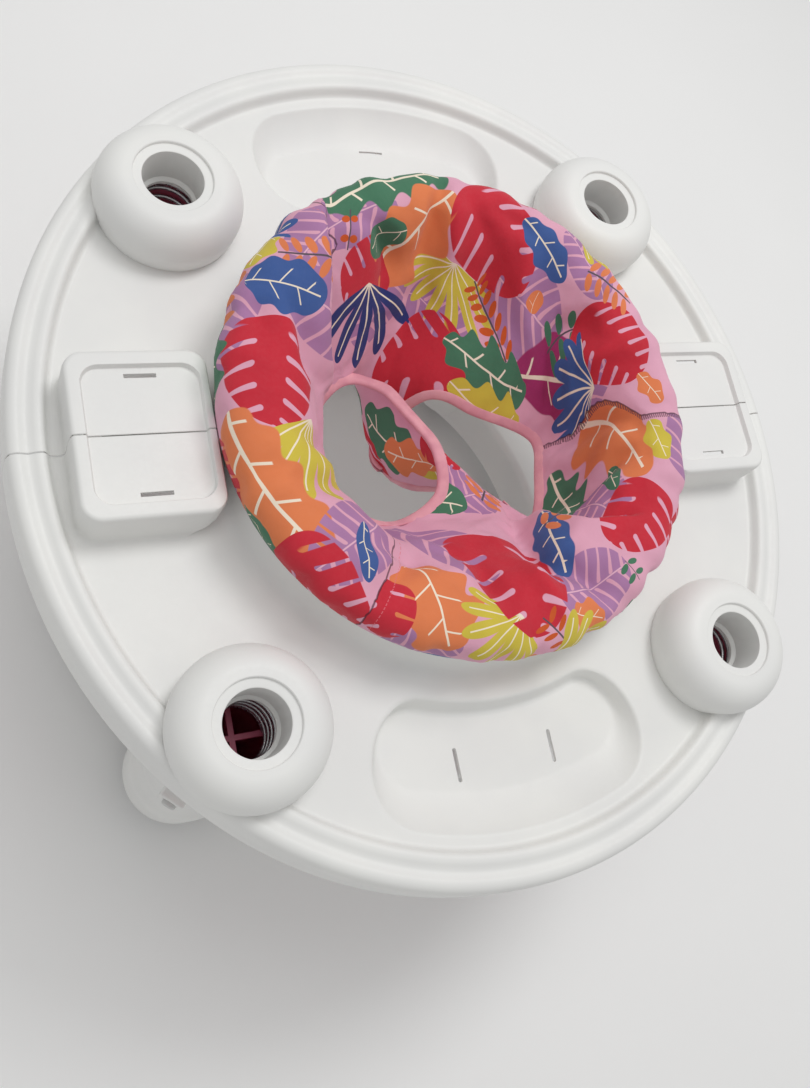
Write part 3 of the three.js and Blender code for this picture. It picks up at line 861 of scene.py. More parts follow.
def fan_leaf():
    """Fingers that spread from the leaf's foot, each with a fine line."""
    group, t, along, across, given = leaf_group("fan_leaf", ("Spread", "Fingers", "Width"))
    spread, fingers, width = given
    reach = t.length(along, across)
    turn = t.math("ARCTAN2", across, along)
    aside = t.over(turn, spread)
    short = t.minus(1.0, t.times(t.times(aside, aside), 0.9))
    part = t.over(reach, short)
    step = t.over(spread, fingers)
    cell = t.minus(t.math("FRACT", t.plus(t.over(turn, step), 0.5)), 0.5)
    beside = t.times(t.times(t.size(cell), step), reach)
    tip = t.math("SQRT", t.math("MAXIMUM", t.minus(1.0, t.math("POWER", part, 5.0)), 0.0))
    half = t.times(t.times(t.math("POWER", part, 0.45), width), tip)
    body = t.ramp(t.minus(half, beside), 0.0, 0.01)
    inside = t.math("LESS_THAN", t.size(aside), 0.5)
    body = t.times(body, t.times(inside, t.math("LESS_THAN", part, 1.0)))
    fine = t.times(t.ramp(beside, 0.012, 0.007), t.math("LESS_THAN", part, 0.87))
    return close_group(group, t, body, t.times(fine, body))


def sprig():
    """A thin stem with pairs of small oval leaflets, or of berries."""
    group, t, along, across, given = leaf_group("sprig", ("Pairs", "Long", "Wide"))
    pairs, long, wide = given
    off = t.size(across)
    cell = t.over(t.minus(t.math("FRACT", t.times(along, pairs)), 0.5), pairs)
    out = t.minus(off, t.times(long, 1.1))
    ahead = t.plus(t.times(cell, 0.94), t.times(out, -0.34))
    aside = t.plus(t.times(cell, 0.34), t.times(out, 0.94))
    a, b = t.over(ahead, wide), t.over(aside, long)
    oval = t.plus(t.times(a, a), t.times(b, b))
    present = t.times(t.math("GREATER_THAN", along, 0.0), t.math("LESS_THAN", along, 1.0))
    body = t.times(t.ramp(oval, 1.08, 0.92), present)
    stem = t.times(t.ramp(off, 0.022, 0.012), present)
    return close_group(group, t, body, stem)


# Each leaf: kind, colour, azimuth in degrees, distance along the cloth, length, direction (0 runs
# anticlockwise round the seat, 90 towards the hem), then the kind's own settings.
BACK_LEAVES = [
    ("slit", LILAC, 116, 236, 80, 0, (0.36, 6, 0.12, 0.022)),
    ("slit", LILAC, 50, 186, 90, -167, (0.34, 7, 0.1, 0.02)),
    ("slit", LILAC, 112, 170, 80, -60, (0.4, 6, 0.12, 0.024)),
    ("slit", LILAC, 42, 245, 70, 20, (0.3, 6, 0.1, 0.02)),
    ("slit", LILAC, 84, 150, 60, 200, (0.36, 6, 0.12, 0.022)),
    ("slit", LILAC, 12, 178, 60, 80, (0.36, 6, 0.1, 0.022)),
    ("lobed", MAGENTA, 30, 166, 100, 160, (0.22, 3, 0.06)),
    ("lobed", GREEN, 104, 256, 130, 176, (0.17, 4, 0.3)),
    ("fan", YELLOW, 84, 169, 54, -72, (3.0, 8, 0.13)),
    ("lobed", ORANGE, 98, 208, 110, -40, (0.25, 3, 0.22)),
    ("slit", RED, 70, 222, 98, -143, (0.38, 5, 0.4, 0.024)),
    ("slit", RED, 116, 190, 60, 4, (0.42, 4, 0.35, 0.026)),
    ("lobed", GREEN, 107, 208, 39, -10, (0.34, 2, 0.1)),
    ("lobed", BLUE, 54, 229, 66, -156, (0.22, 3, 0.12)),
    ("fan", NAVY, 120, 150, 76, -74, (2.4, 5, 0.13)),
    ("slit", RED, 84, 118, 66, -35, (0.5, 5, 0.4, 0.026)),
    ("sprig", RUST, 65, 169, 44, 46, (7, 0.13, 0.045)),
    ("sprig", GREEN, 34, 184, 38, 130, (3, 0.2, 0.09)),
    ("slit", RED, 19, 215, 80, 162, (0.44, 6, 0.4, 0.024)),
    ("lobed", GREEN, 61, 141, 62, 174, (0.26, 4, 0.26)),
    ("fan", BLUE, 19, 163, 64, -48, (2.1, 8, 0.12)),
    ("sprig", RUST, 119, 226, 34, 120, (2, 0.1, 0.09)),
    ("sprig", ORANGE, 33, 246, 50, 160, (5, 0.17, 0.06)),
    ("lobed", ORANGE, 2, 234, 34, 155, (0.3, 2, 0.2)),
    ("lobed", YELLOW, 54, 122, 42, 170, (0.34, 3, 0.25)),
    ("lobed", ORANGE, 48, 192, 16, 90, (0.5, 1, 0.1)),
    ("slit", RED, 66, 288, 72, 10, (0.4, 5, 0.38, 0.026)),
    ("lobed", ORANGE, 20, 284, 80, -8, (0.24, 3, 0.2)),
    ("fan", YELLOW, 42, 286, 56, 170, (2.4, 7, 0.14)),
    ("lobed", BLUE, 110, 290, 52, 4, (0.24, 3, 0.1)),
]
LEFT_LEAVES = [
    ("slit", LILAC, 146, 200, 80, 80, (0.36, 6, 0.1, 0.022)),
    ("slit", LILAC, 160, 276, 90, 10, (0.34, 7, 0.1, 0.02)),
    ("slit", LILAC, 132, 236, 66, 0, (0.36, 6, 0.12, 0.022)),
    ("slit", LILAC, 205, 275, 90, 0, (0.34, 7, 0.1, 0.02)),
    ("sprig", ORANGE, 138, 232, 44, 60, (5, 0.17, 0.06)),
    ("lobed", YELLOW, 141, 266, 40, 0, (0.3, 2, 0.2)),
    ("lobed", BLUE, 148, 236, 58, -106, (0.38, 3, 0.1)),
    ("slit", RED, 171, 232, 90, 2, (0.42, 5, 0.38, 0.026)),
    ("fan", YELLOW, 195, 216, 72, 28, (2.0, 5, 0.15)),
    ("lobed", ORANGE, 199, 257, 138, -8, (0.22, 4, 0.16)),
    ("lobed", GREEN, 205, 282, 52, 0, (0.2, 2, 0.1)),
    ("slit", LILAC, 220, 226, 80, 101, (0.4, 7, 0.12, 0.022)),
    ("slit", RED, 221, 274, 88, 8, (0.4, 5, 0.35, 0.026)),
    ("lobed", BLUE, 224, 224, 48, 50, (0.19, 3, 0.02)),
    ("lobed", GREEN, 168, 286, 70, 10, (0.25, 3, 0.3)),
    ("sprig", ORANGE, 150, 288, 60, 0, (5, 0.17, 0.06)),
    ("slit", RED, 190, 294, 56, 4, (0.36, 5, 0.38, 0.026)),
    ("fan", BLUE, 133, 284, 46, 180, (2.4, 6, 0.14)),
]
FRONT_LEAVES = [
    ("slit", LILAC, 246, 276, 64, -30, (0.38, 6, 0.1, 0.022)),
    ("slit", LILAC, 293, 234, 78, 8, (0.42, 7, 0.1, 0.02)),
    ("slit", LILAC, 258, 165, 80, 60, (0.4, 6, 0.12, 0.022)),
    ("slit", LILAC, 325, 182, 80, 120, (0.4, 6, 0.1, 0.02)),
    ("slit", LILAC, 348, 268, 80, 0, (0.36, 6, 0.1, 0.02)),
    ("lobed", ORANGE, 246, 234, 84, 60, (0.4, 3, 0.2)),
    ("slit", RED, 235, 255, 52, 62, (0.46, 3, 0.35, 0.034)),
    ("fan", YELLOW, 262, 255, 56, 140, (2.8, 7, 0.14)),
    ("slit", RED, 274, 200, 112, 98, (0.36, 5, 0.36, 0.024)),
    ("lobed", BLUE, 298, 174, 84, 118, (0.17, 4, 0.08)),
    ("lobed", ORANGE, 287, 254, 34, 30, (0.4, 2, 0.2)),
    ("sprig", RUST, 278, 258, 40, -126, (4, 0.16, 0.055)),
    ("slit", RED, 320, 226, 78, -172, (0.44, 5, 0.36, 0.026)),
    ("sprig", GREEN, 305, 247, 20, 94, (2, 0.26, 0.12)),
    ("sprig", ORANGE, 312, 165, 50, 20, (5, 0.17, 0.07)),
    ("lobed", ORANGE, 353, 193, 126, 150, (0.22, 4, 0.16)),
    ("lobed", GREEN, 348, 141, 104, 172, (0.17, 4, 0.26)),
    ("lobed", GREEN, 336, 188, 42, 150, (0.22, 2, 0.1)),
    ("lobed", YELLOW, 346, 234, 40, 158, (0.3, 2, 0.2)),
    ("lobed", BLUE, 250, 294, 60, 0, (0.16, 3, 0.05)),
    ("fan", YELLOW, 285, 288, 60, 0, (2.6, 7, 0.14)),
    ("slit", RED, 325, 286, 70, 0, (0.4, 5, 0.36, 0.026)),
    ("lobed", GREEN, 303, 286, 52, 10, (0.26, 3, 0.2)),
    ("lobed", ORANGE, 270, 292, 50, 170, (0.26, 3, 0.2)),
]
# The same for the pan, with each leaf's middle on the flat cloth in place of its azimuth and distance.
PAN_LEAVES = [
    ("slit", LILAC, 10, -75, 80, 30, (0.4, 6, 0.1, 0.022)),
    ("lobed", GREEN, -22, -82, 66, -10, (0.33, 3, 0.08)),
    ("sprig", ORANGE, 42, -48, 60, 60, (5, 0.17, 0.07)),
    ("lobed", YELLOW, 14, -8, 56, -50, (0.25, 2, 0.1)),
    ("sprig", RUST, 4, -22, 26, 100, (2, 0.26, 0.14)),
    ("lobed", GREEN, -14, 30, 62, 120, (0.32, 3, 0.2)),
    ("lobed", ORANGE, 0, 10, 50, 110, (0.3, 3, 0.2)),
    ("slit", RED, 20, 70, 70, 0, (0.42, 5, 0.36, 0.026)),
    ("lobed", GREEN, -30, 78, 46, 30, (0.3, 2, 0.1)),
    ("slit", RED, -6, -26, 50, -60, (0.42, 4, 0.36, 0.03)),
]


LEAVES = {"lobed": lobed_leaf(), "slit": slit_leaf(), "fan": fan_leaf(), "sprig": sprig()}
LINE_COLOURS = {"sprig": rgba(96, 84, 92)}
DARK_THREAD = rgba(112, 74, 88)
RED_THREAD = rgba(228, 120, 130)
THREAD_PITCH = 0.55


def draw_leaves(t, ground, leaves, local):
    """The ground colour with the leaves laid over it in their order, each leaf's lines on top of it."""
    colour = ground
    for kind, tint, across, along, length, angle, settings in leaves:
        mapping = t.node("Mapping", vector_type="TEXTURE")
        t.link(local(across, along), mapping.inputs["Vector"])
        mapping.inputs["Rotation"].default_value = (0, 0, math.radians(angle))
        mapping.inputs["Scale"].default_value = (length, length, length)
        leaf = t.node("Group", node_tree=LEAVES[kind])
        t.link(mapping.outputs[0], leaf.inputs["Place"])
        for value, socket in zip(settings, leaf.inputs[1:]):
            socket.default_value = value
        colour = t.mix(leaf.outputs["Body"], colour, tint)
        if tint is not RED:
            line = PALE if tint is LILAC else LINE_COLOURS.get(kind, CREAM)
            colour = t.mix(leaf.outputs["Lines"], colour, line)
    return colour


def weave(t, u, v, pitch):
    """Plain weave: threads along both directions of the cloth."""
    waves = [t.size(t.math("SINE", t.times(c, math.pi / pitch))) for c in (u, v)]
    return t.math("MAXIMUM", *waves)


def finish_cloth(t, shader, colour, u, v):
    """Thread, faint blotches and soft sheen, shared by the printed cloth and the tape."""
    place = t.node("TexCoord").outputs["Object"]
    blotch = t.ramp(t.noise(place, 26.0, 3.0), 0.3, 0.7, 0.0, 0.1)
    colour = t.mix(blotch, colour, rgba(120, 84, 110), "MULTIPLY")
    threads = weave(t, u, v, THREAD_PITCH)
    colour = t.mix(t.ramp(threads, 0.2, 0.9, 0.1, 0.0), colour, rgba(90, 60, 80), "MULTIPLY")
    t.link(colour, shader.inputs["Base Color"])
    t.link(t.ramp(t.noise(place, 300.0), 0.3, 0.7, 0.72, 0.88), shader.inputs["Roughness"])
    soft = t.bump(t.noise(place, 70.0, 4.0), 0.35, 0.002)
    t.link(t.bump(threads, 0.25, 0.0003, soft), shader.inputs["Normal"])
    shader.inputs["Sheen Weight"].default_value = 0.12
    shader.inputs["Sheen Roughness"].default_value = 0.5
    shader.inputs["Specular IOR Level"].default_value = 0.25


def make_print_material(name, leaves, on_pan=False):
    """Tropical leaves printed on one panel or on the pan, with the stitches along the seams and painted
    shade in each seam.
    """
    material, t, shader = new_material(name)
    cloth = t.node("SeparateXYZ")
    t.link(t.node("Attribute", attribute_name="cloth").outputs["Vector"], cloth.inputs[0])
    u, v, radius = cloth.outputs
    s = t.length(u, v)
    azimuth = t.math("ARCTAN2", v, u)

    def beside(degrees, lean=0.0):
        """Distance along the cloth from a meridian, anticlockwise, or from a seam that leans."""
        turn = t.minus(azimuth, wrapped(math.radians(degrees)))
        if lean:
            near_pan = t.math("MAXIMUM", t.minus(SEAM_MIDDLE, s), 0.0)
            turn = t.minus(turn, t.times(near_pan, math.radians(lean)))
        return t.times(t.math("WRAP", turn, math.pi, -math.pi), radius)

    def local(first, second):
        joined = t.node("CombineXYZ")
        t.link(t.minus(u, float(first)) if on_pan else beside(first), joined.inputs[0])
        t.link(t.minus(v if on_pan else s, float(second)), joined.inputs[1])
        return joined.outputs[0]

    colour = draw_leaves(t, PINK_CLOTH, leaves, local)
    if not on_pan:
        for (degrees, lean), stitch in zip(PANEL_SEAMS, STITCH_OFFSETS):
            gap = beside(degrees, lean)
            # painted shade: a thin dark line along each seam stands in for the shadow in the seam's groove
            dark = t.ramp(t.size(gap), 1.1, 0.5, 0.0, 0.75)
            colour = t.mix(dark, colour, rgba(60, 30, 45))
            wide, pitch = (0.35, 3.6) if stitch > 0 else (2.0, 1.9)
            row = t.ramp(t.size(t.minus(gap, stitch)), wide + 0.15, wide - 0.15, 0.0, 0.8)
            dash = t.math("GREATER_THAN", t.math("FRACT", t.over(s, pitch)), 0.35)
            thread = t.times(row, dash)
            colour = t.mix(thread, colour, RED_THREAD if stitch > 0 else DARK_THREAD)
    finish_cloth(t, shader, colour, u, v)
    return material


def make_tape_material():
    material, t, shader = new_material("binding_tape")
    apart = t.node("SeparateXYZ")
    t.link(t.node("TexCoord").outputs["Object"], apart.inputs[0])
    u = t.times(t.plus(apart.outputs[0], apart.outputs[2]), 1000.0)
    v = t.times(t.plus(apart.outputs[1], apart.outputs[2]), 1000.0)
    shade_of = t.noise(t.node("TexCoord").outputs["Object"], 60.0, 3.0)
    colour = t.mix(t.ramp(shade_of, 0.35, 0.65), rgba(240, 174, 184), rgba(228, 158, 172))
    finish_cloth(t, shader, colour, u, v)
    return material


BINDING = make_tape_material()


# ---------------------------------------------------------------- seat

NEAR = math.radians(217)       # the side where the padded roll is fullest
BACK = math.radians(112)       # the side where the cloth stands highest
SEAT_RIGHT = math.radians(32)  # from the left leg hole to the right one
PAN_EDGE = 96.0                # distance along the cloth at which the panels meet the pan
# The three seams from the pan to the hem: azimuth in degrees at the middle of the roll, and degrees of lean
# for each millimetre towards the pan.
PANEL_SEAMS = ((-6, 0.35), (124, 0.45), (232, 0))
STITCH_OFFSETS = (-2.4, 8.5, 8.5)   # how far a row of stitches lies beside each seam
SEAM_MIDDLE = 220.0            # distance along the cloth at which a seam has that azimuth

# Half sections of the cloth from the middle of the pan to the hem, as (radius, height).
HEM = [(184, 456.5), (197, 455), (206, 448.5), (210.8, 438), (209.5, 428), (206.3, 421.5)]
FULL_ROLL = [(0, 332), (28, 332), (54, 334), (75, 340), (87, 352), (94, 370), (101, 392), (111, 414),
             (126, 434), (145, 448), (165, 455)] + HEM
SLOPE = [(0, 332), (28, 332), (52, 334), (70, 340), (88, 352), (104, 368), (118, 385), (131, 403),
         (144, 421), (156, 438), (168, 450)] + HEM
CLOTH_STEP = 4.0
CLOTH_THICKNESS = 2.5
SIMULATED_STEPS = 30
LARGEST_MOVE = 4.0             # how far the simulation may move a point

# Where the bound edge of each leg hole lies, at 12 even steps round it from its right side, to the front.
LEFT_RIM = [(-6, 9, 368), (1, -15, 366), (-4, -46, 359), (-38, -64, 350), (-62, -62, 346), (-80, -40, 334),
            (-92, -8, 326), (-98, 20, 326), (-95, 44, 335), (-83, 60, 349), (-62, 69, 358), (-34, 54, 364)]
RIGHT_RIM = [(121, 6, 341), (118, -26, 337), (110, -60, 333), (97, -69, 330), (72, -48, 329), (44, -26, 318),
             (14, -14, 296), (-12, 4, 284), (-20, 34, 300), (14, 54, 347), (55, 39, 346), (93, 24, 343)]


def hole_outline(side, count):
    """A leg hole on the flat cloth: an ellipse beside the middle, from its right side to the front."""
    a = np.linspace(0, 2 * math.pi, count, endpoint=False)
    x, y = side * 78 + 45 * np.cos(a), -66 * np.sin(a)
    turn = SEAT_RIGHT
    return np.stack([x * math.cos(turn) - y * math.sin(turn), x * math.sin(turn) + y * math.cos(turn)], 1)


def section_lengths(section):
    points = smooth_curve(section, 8)
    return points, np.concatenate([[0], np.cumsum(np.linalg.norm(np.diff(points, axis=0), axis=1))])


def seat_total():
    return (section_lengths(FULL_ROLL)[1][-1] + section_lengths(SLOPE)[1][-1]) / 2


def seat_surface(disc):
    """Maps points of the flat cloth, whose radius is the distance along it, to the seat's plain shape."""
    (full, full_s), (slope, slope_s) = section_lengths(FULL_ROLL), section_lengths(SLOPE)
    s = np.hypot(disc[:, 0], disc[:, 1])
    angle = np.arctan2(disc[:, 1], disc[:, 0])
    near = ((1 + np.cos(angle - NEAR)) / 2)[:, None]
    index = np.interp(s, (full_s + slope_s) / 2, np.arange(len(full)))[:, None]
    columns = np.arange(len(full))

    def on_curve(curve):
        return np.stack([np.interp(index[:, 0], columns, curve[:, k]) for k in (0, 1)], 1)

    r, z = (on_curve(full) * near + on_curve(slope) * (1 - near)).T
    back = (1 + np.cos(angle - BACK)) / 2
    t = np.clip((z - 425) / 30, 0, 1)
    z = z + 22 * back ** 1.5 * t * t * (3 - 2 * t)
    return np.stack([r * np.cos(angle), r * np.sin(angle), z], 1)


def plate_spline(knots, values, points):
    """Smooth values over the plane that pass through the given ones at the knots."""
    def kernel(a, b):
        square = ((a[:, None] - b[None]) ** 2).sum(2)
        return square * np.log(square + 1e-6)

    n = len(knots)
    system = np.zeros((n + 3, n + 3))
    system[:n, :n] = kernel(knots, knots)
    system[:n, n] = 1
    system[:n, n + 1:] = knots
    system[n:, :n] = system[:n, n:].T
    weights = np.linalg.solve(system, np.vstack([values, np.zeros((3, values.shape[1]))]))
    plane = np.hstack([np.ones((len(points), 1)), points])
    return kernel(points, knots) @ weights[:n] + plane @ weights[n:]


def shape_pan(disc, points):
    """Draws the leg holes' edges to their places, so that the strip between them stands on edge behind."""
    knots, targets = [], []
    for side, rim in ((-1, LEFT_RIM), (1, RIGHT_RIM)):
        knots.append(hole_outline(side, len(rim)))
        targets.append(np.array(rim, float))
    still = ring(205, 0, 28)[:, :2]
    knots.append(still)
    targets.append(seat_surface(still))
    behind = ring(128, 0, 36)[9:14, :2]
    knots.append(behind)
    targets.append(seat_surface(behind) * (0.97, 0.97, 1) - (0, 0, 9))
    knots, targets = np.vstack(knots), np.vstack(targets)
    moved = plate_spline(knots, targets - seat_surface(knots), disc)
    s = np.hypot(disc[:, 0], disc[:, 1])
    t = np.clip((s - 150) / 55, 0, 1)[:, None]
    return points + moved * (1 - t * t * (3 - 2 * t))


def vertex_normals(points, faces):
    f = np.array(faces)
    face = np.cross(points[f[:, 1]] - points[f[:, 0]], points[f[:, 2]] - points[f[:, 0]])
    out = np.zeros_like(points)
    for k in range(3):
        np.add.at(out, f[:, k], face)
    return out / (np.linalg.norm(out, axis=1)[:, None] + 1e-9)


def on_disc(azimuth, s):
    angle = np.radians(np.asarray(azimuth, float))
    return np.stack([np.cos(angle) * s, np.sin(angle) * s], 1)


def seam_azimuth(seam, s):
    """A seam's azimuth in degrees at a distance along the cloth."""
    degrees, lean = seam
    return degrees + lean * np.maximum(SEAM_MIDDLE - s, 0)


def span(value, start, full, end_full, end):
    """0 outside start to end, 1 between the two inner values, and smooth between."""
    t = np.clip(np.minimum((value - start) / (full - start), (end - value) / (end - end_full)), 0, 1)
    return t * t * (3 - 2 * t)


# Folds where the cloth on the anticlockwise side lies over the other: (azimuth, distance) along the edge,
# how far it comes forward, how far it reaches over, and where it starts and ends.
OVERLAPS = [
    ([(158, 150), (152, 175), (146, 190), (140, 203), (135, 214), (131, 226), (122, 250), (117, 285)],
     16, 9, (120, 150, 225, 272)),
]
# The same with the clockwise side on top.
UNDERLAPS = [
    ([(320, 105), (316, 124), (312, 150), (311, 167), (311, 194), (318, 215), (324, 235)],
     14, 8, (100, 120, 205, 240)),
]
# Soft valleys (depth above 0) and ridges: points as (azimuth, distance), depth, half width.
CREASES = [
    ([(326, 92), (310, 110), (297, 127), (287, 185), (290, 207), (298, 230)], 11, 11),
    ([(293, 207), (294, 237), (299, 263)], 6, 8),
    ([(113, 227), (108, 207), (104, 194), (108, 173)], 9, 8),
    ([(88, 247), (90, 230), (90, 215), (92, 195), (99, 162)], 8, 7),
    ([(80, 240), (75, 221), (69, 208)], 5, 7),
    ([(72, 238), (63, 234), (55, 228)], 4, 7),
    ([(30, 232), (30, 197), (41, 170)], 6, 9),
    ([(28, 135), (12, 160), (358, 184), (352, 215)], 7, 8),
    ([(152, 222), (157, 205), (163, 196), (166, 178)], 7, 8),
    ([(152, 252), (160, 240), (167, 236)], 3, 8),
    ([(264, 178), (263, 205), (267, 226)], 6, 9),
    ([(224, 210), (236, 190), (246, 192)], 6, 9),
    ([(72, 150), (67, 173), (66, 193)], 6, 8),
    ([(98, 146), (91, 167), (89, 185)], 5, 7),
    ([(84, 225), (82, 200), (84, 172)], -5, 9),
    ([(60, 222), (54, 195), (47, 170)], -6, 10),
    ([(20, 225), (18, 200), (24, 172)], -5, 10),
    ([(340, 150), (341, 185), (343, 220)], 7, 10),
    ([(200, 225), (204, 200), (206, 175)], 6, 9),
    ([(232, 240), (236, 212), (240, 185)], 7, 9),
    ([(280, 190), (278, 215), (281, 240)], -6, 9),
    ([(185, 215), (190, 190), (192, 170)], 5, 8),
]
CREASE_SHARE = 1.8             # how deep the creases are made, as a share of their depths above
# Small waves round the hem: number, phase, height.
GATHERS = ((31, 0.4, 1.0), (47, 1.9, 0.7), (19, 3.0, 1.1))


def wrapped(angle):
    return (angle + math.pi) % (2 * math.pi) - math.pi


def unwrapped(azimuth):
    """Azimuths in degrees without the jump at 360."""
    return np.degrees(np.unwrap(np.radians(azimuth)))


def edge_distance(line, s, angle, radius):
    """How far each point lies anticlockwise of an edge line, in millimetres."""
    azimuth, distance = np.array(line, float).T
    return wrapped(angle - np.radians(np.interp(s, distance, azimuth))) * radius


def fold_cloth(disc, points, faces):
    """Adds the folds where one panel lies over the next, and the soft creases."""
    s = np.hypot(disc[:, 0], disc[:, 1])
    angle = np.arctan2(disc[:, 1], disc[:, 0])
    radius = np.hypot(points[:, 0], points[:, 1])
    normals = vertex_normals(points, faces)
    across = np.stack([-np.sin(angle), np.cos(angle), np.zeros(len(s))], 1)
    moved = np.zeros_like(points)
    for folds, way in ((OVERLAPS, 1), (UNDERLAPS, -1)):
        for line, forward, reach, ends in folds:
            d = edge_distance(line, s, angle, radius) * way
            strength = span(s, *ends)
            top = 1 / (1 + np.exp(-d / 2.5))
            over = top * np.exp(-np.maximum(d, 0) / 42)
            under = 0.8 * (1 - top) * np.exp(np.minimum(d, 0) / 34)
            rise = forward * (over - under)
            slide = -reach * np.tanh(d / 5) * np.exp(-(d / 20) ** 2)
            moved += normals * (rise * strength)[:, None] + across * (slide * strength * way)[:, None]
    for line, depth, width in CREASES:
        azimuth, distance = np.array(line, float).T
        fine = np.linspace(0, 1, 24)
        steps = np.linspace(0, 1, len(line))
        heading = np.radians(np.interp(fine, steps, unwrapped(azimuth)))
        turn = wrapped(angle[:, None] - heading[None]) * radius[:, None]
        gap = np.hypot(turn, s[:, None] - np.interp(fine, steps, distance)[None])
        nearest = gap.min(1)
        at = fine[gap.argmin(1)]
        fade = np.sin(math.pi * np.clip(at, 0.12, 0.88)) ** 0.8
        moved -= normals * (CREASE_SHARE * depth * fade * np.exp(-(nearest / width) ** 2))[:, None]
    at_hem = span(s, seat_total() - 75, seat_total() - 45, seat_total() - 20, seat_total() - 8)
    for count, phase, height in GATHERS:
        moved += normals * (height * at_hem * np.sin(count * angle + phase))[:, None]
    return points + moved


def relax(points, faces, rounds, keep):
    """Evens the cloth out: each point goes part of the way to the middle of its neighbours."""
    f = np.array(faces)
    pairs = np.vstack([f[:, (0, 1)], f[:, (1, 2)], f[:, (2, 0)]])
    pairs = np.vstack([pairs, pairs[:, ::-1]])
    count = np.bincount(pairs[:, 0], minlength=len(points))[:, None]
    for _ in range(rounds):
        total = np.zeros_like(points)
        np.add.at(total, pairs[:, 0], points[pairs[:, 1]])
        points = points + (total / count - points) * 0.5 * (1 - keep)[:, None]
    return points


def seat_disc(step):
    """The cloth as a flat disc with two leg holes, cut into small triangles."""
    total = seat_total()
    rows = int(total / (step * 0.866))
    grid = np.array([((i + 0.5 * (k % 2)) * step, k * step * 0.866) for k in range(-rows, rows + 1)
                     for i in range(-int(total / step) - 1, int(total / step) + 2)])
    holes = [hole_outline(side, 96) for side in (-1, 1)]
    keep = np.hypot(grid[:, 0], grid[:, 1]) < total - step * 0.6
    for hole in holes:
        middle = hole.mean(0)
        keep &= ~in_outline(grid, middle + (hole - middle) * 1.04)
    edge = ring(total, 0, int(2 * math.pi * total / step))[:, :2]
    points, edges = [], []
    for outline in [edge] + holes:
        edges += closed_edges(len(points), len(outline))
        points += [Vector(p) for p in outline]
    along = np.linspace(PAN_EDGE, total - 0.5, 60)
    seams = [on_disc(seam_azimuth(seam, along), along) for seam in PANEL_SEAMS]
    for line in seams + [np.vstack([ring(PAN_EDGE, 0, 150), ring(PAN_EDGE, 0, 1)])[:, :2]]:
        start = len(points)
        points += [Vector(p) for p in line]
        edges += [(start + k, start + k + 1) for k in range(len(line) - 1)]
        keep &= np.sqrt(((grid[:, None] - line[None]) ** 2).sum(2)).min(1) > step * 0.6
    points += [Vector(p) for p in grid[keep]]
    flat, faces = triangulate(points, edges, [edge] + holes)
    rims = [[int(np.argmin(((flat - p) ** 2).sum(1))) for p in hole] for hole in holes]
    return flat, faces, rims


def make_binding(name, points, normals, rim, toward):
    """A folded tape over the edge of a leg hole."""
    edge = points[rim]
    tangent = np.roll(edge, -1, 0) - np.roll(edge, 1, 0)
    tangent /= np.linalg.norm(tangent, axis=1)[:, None]
    up = normals[rim]
    for _ in range(4):
        up = up + np.roll(up, 1, 0) + np.roll(up, -1, 0)
        up /= np.linalg.norm(up, axis=1)[:, None]
    up -= tangent * (up * tangent).sum(1)[:, None]
    up /= np.linalg.norm(up, axis=1)[:, None]
    out = np.cross(tangent, up)
    out *= np.sign((out * (toward - edge)).sum(1))[:, None]
    section = [(8.5, 0.2), (8.6, 1.0), (7.6, 1.5), (4.5, 1.8), (1, 1.8), (-1.4, 0.9), (-2.3, -1.2),
               (-1.4, -3.4), (1, -4.2), (4.5, -4.2), (7.6, -3.9), (8.6, -3.4), (8.5, -2.7), (0.6, -2.6),
               (0.6, 0.1)]
    surface, rows = Surface(), []
    for k, (p, o, n) in enumerate(zip(edge, out, up)):
        swell = 1 + 0.07 * math.sin(k * 0.9) + 0.05 * math.sin(k * 2.3 + 1)
        rows.append(surface.add([p + o * a + n * (b * swell) for a, b in section]))
    for a, b in zip(rows, rows[1:] + rows[:1]):
        surface.bridge(a, b)
    tape = surface.object(name)
    finish_piece(tape, "seat", BINDING, angle=50)


def simulate(points, faces, held):
    """Cloth simulation: the cloth is too large for its place, so it wrinkles, and its edges are held."""
    mesh = bpy.data.meshes.new("cloth_run")
    mesh.from_pydata((points * MM).tolist(), [], faces)
    run = place_object("cloth_run", mesh)
    group = run.vertex_groups.new(name="held")
    group.add([int(k) for k in np.flatnonzero(held)], 1.0, "REPLACE")
    settings = run.modifiers.new("cloth", "CLOTH").settings
    settings.quality = 6
    settings.mass = 0.25
    settings.tension_stiffness = 18
    settings.compression_stiffness = 10
    settings.shear_stiffness = 6
    settings.bending_stiffness = 0.25
    settings.shrink_min = -0.05
    settings.vertex_group_mass = "held"
    settings.use_pressure = True
    settings.uniform_pressure_force = 0.3
    settings.effector_weights.gravity = 0
    scene = bpy.context.scene
    for step in range(1, SIMULATED_STEPS + 1):
        scene.frame_set(step)
    evaluated = run.evaluated_get(bpy.context.evaluated_depsgraph_get())
    after = np.zeros(len(points) * 3)
    evaluated.data.vertices.foreach_get("co", after)
    after = after.reshape(-1, 3) / MM
    bpy.data.objects.remove(run)
    scene.frame_set(1)
    move = after - points
    size = np.linalg.norm(move, axis=1)[:, None]
    return points + move * np.minimum(1, LARGEST_MOVE / np.maximum(size, 1e-6))


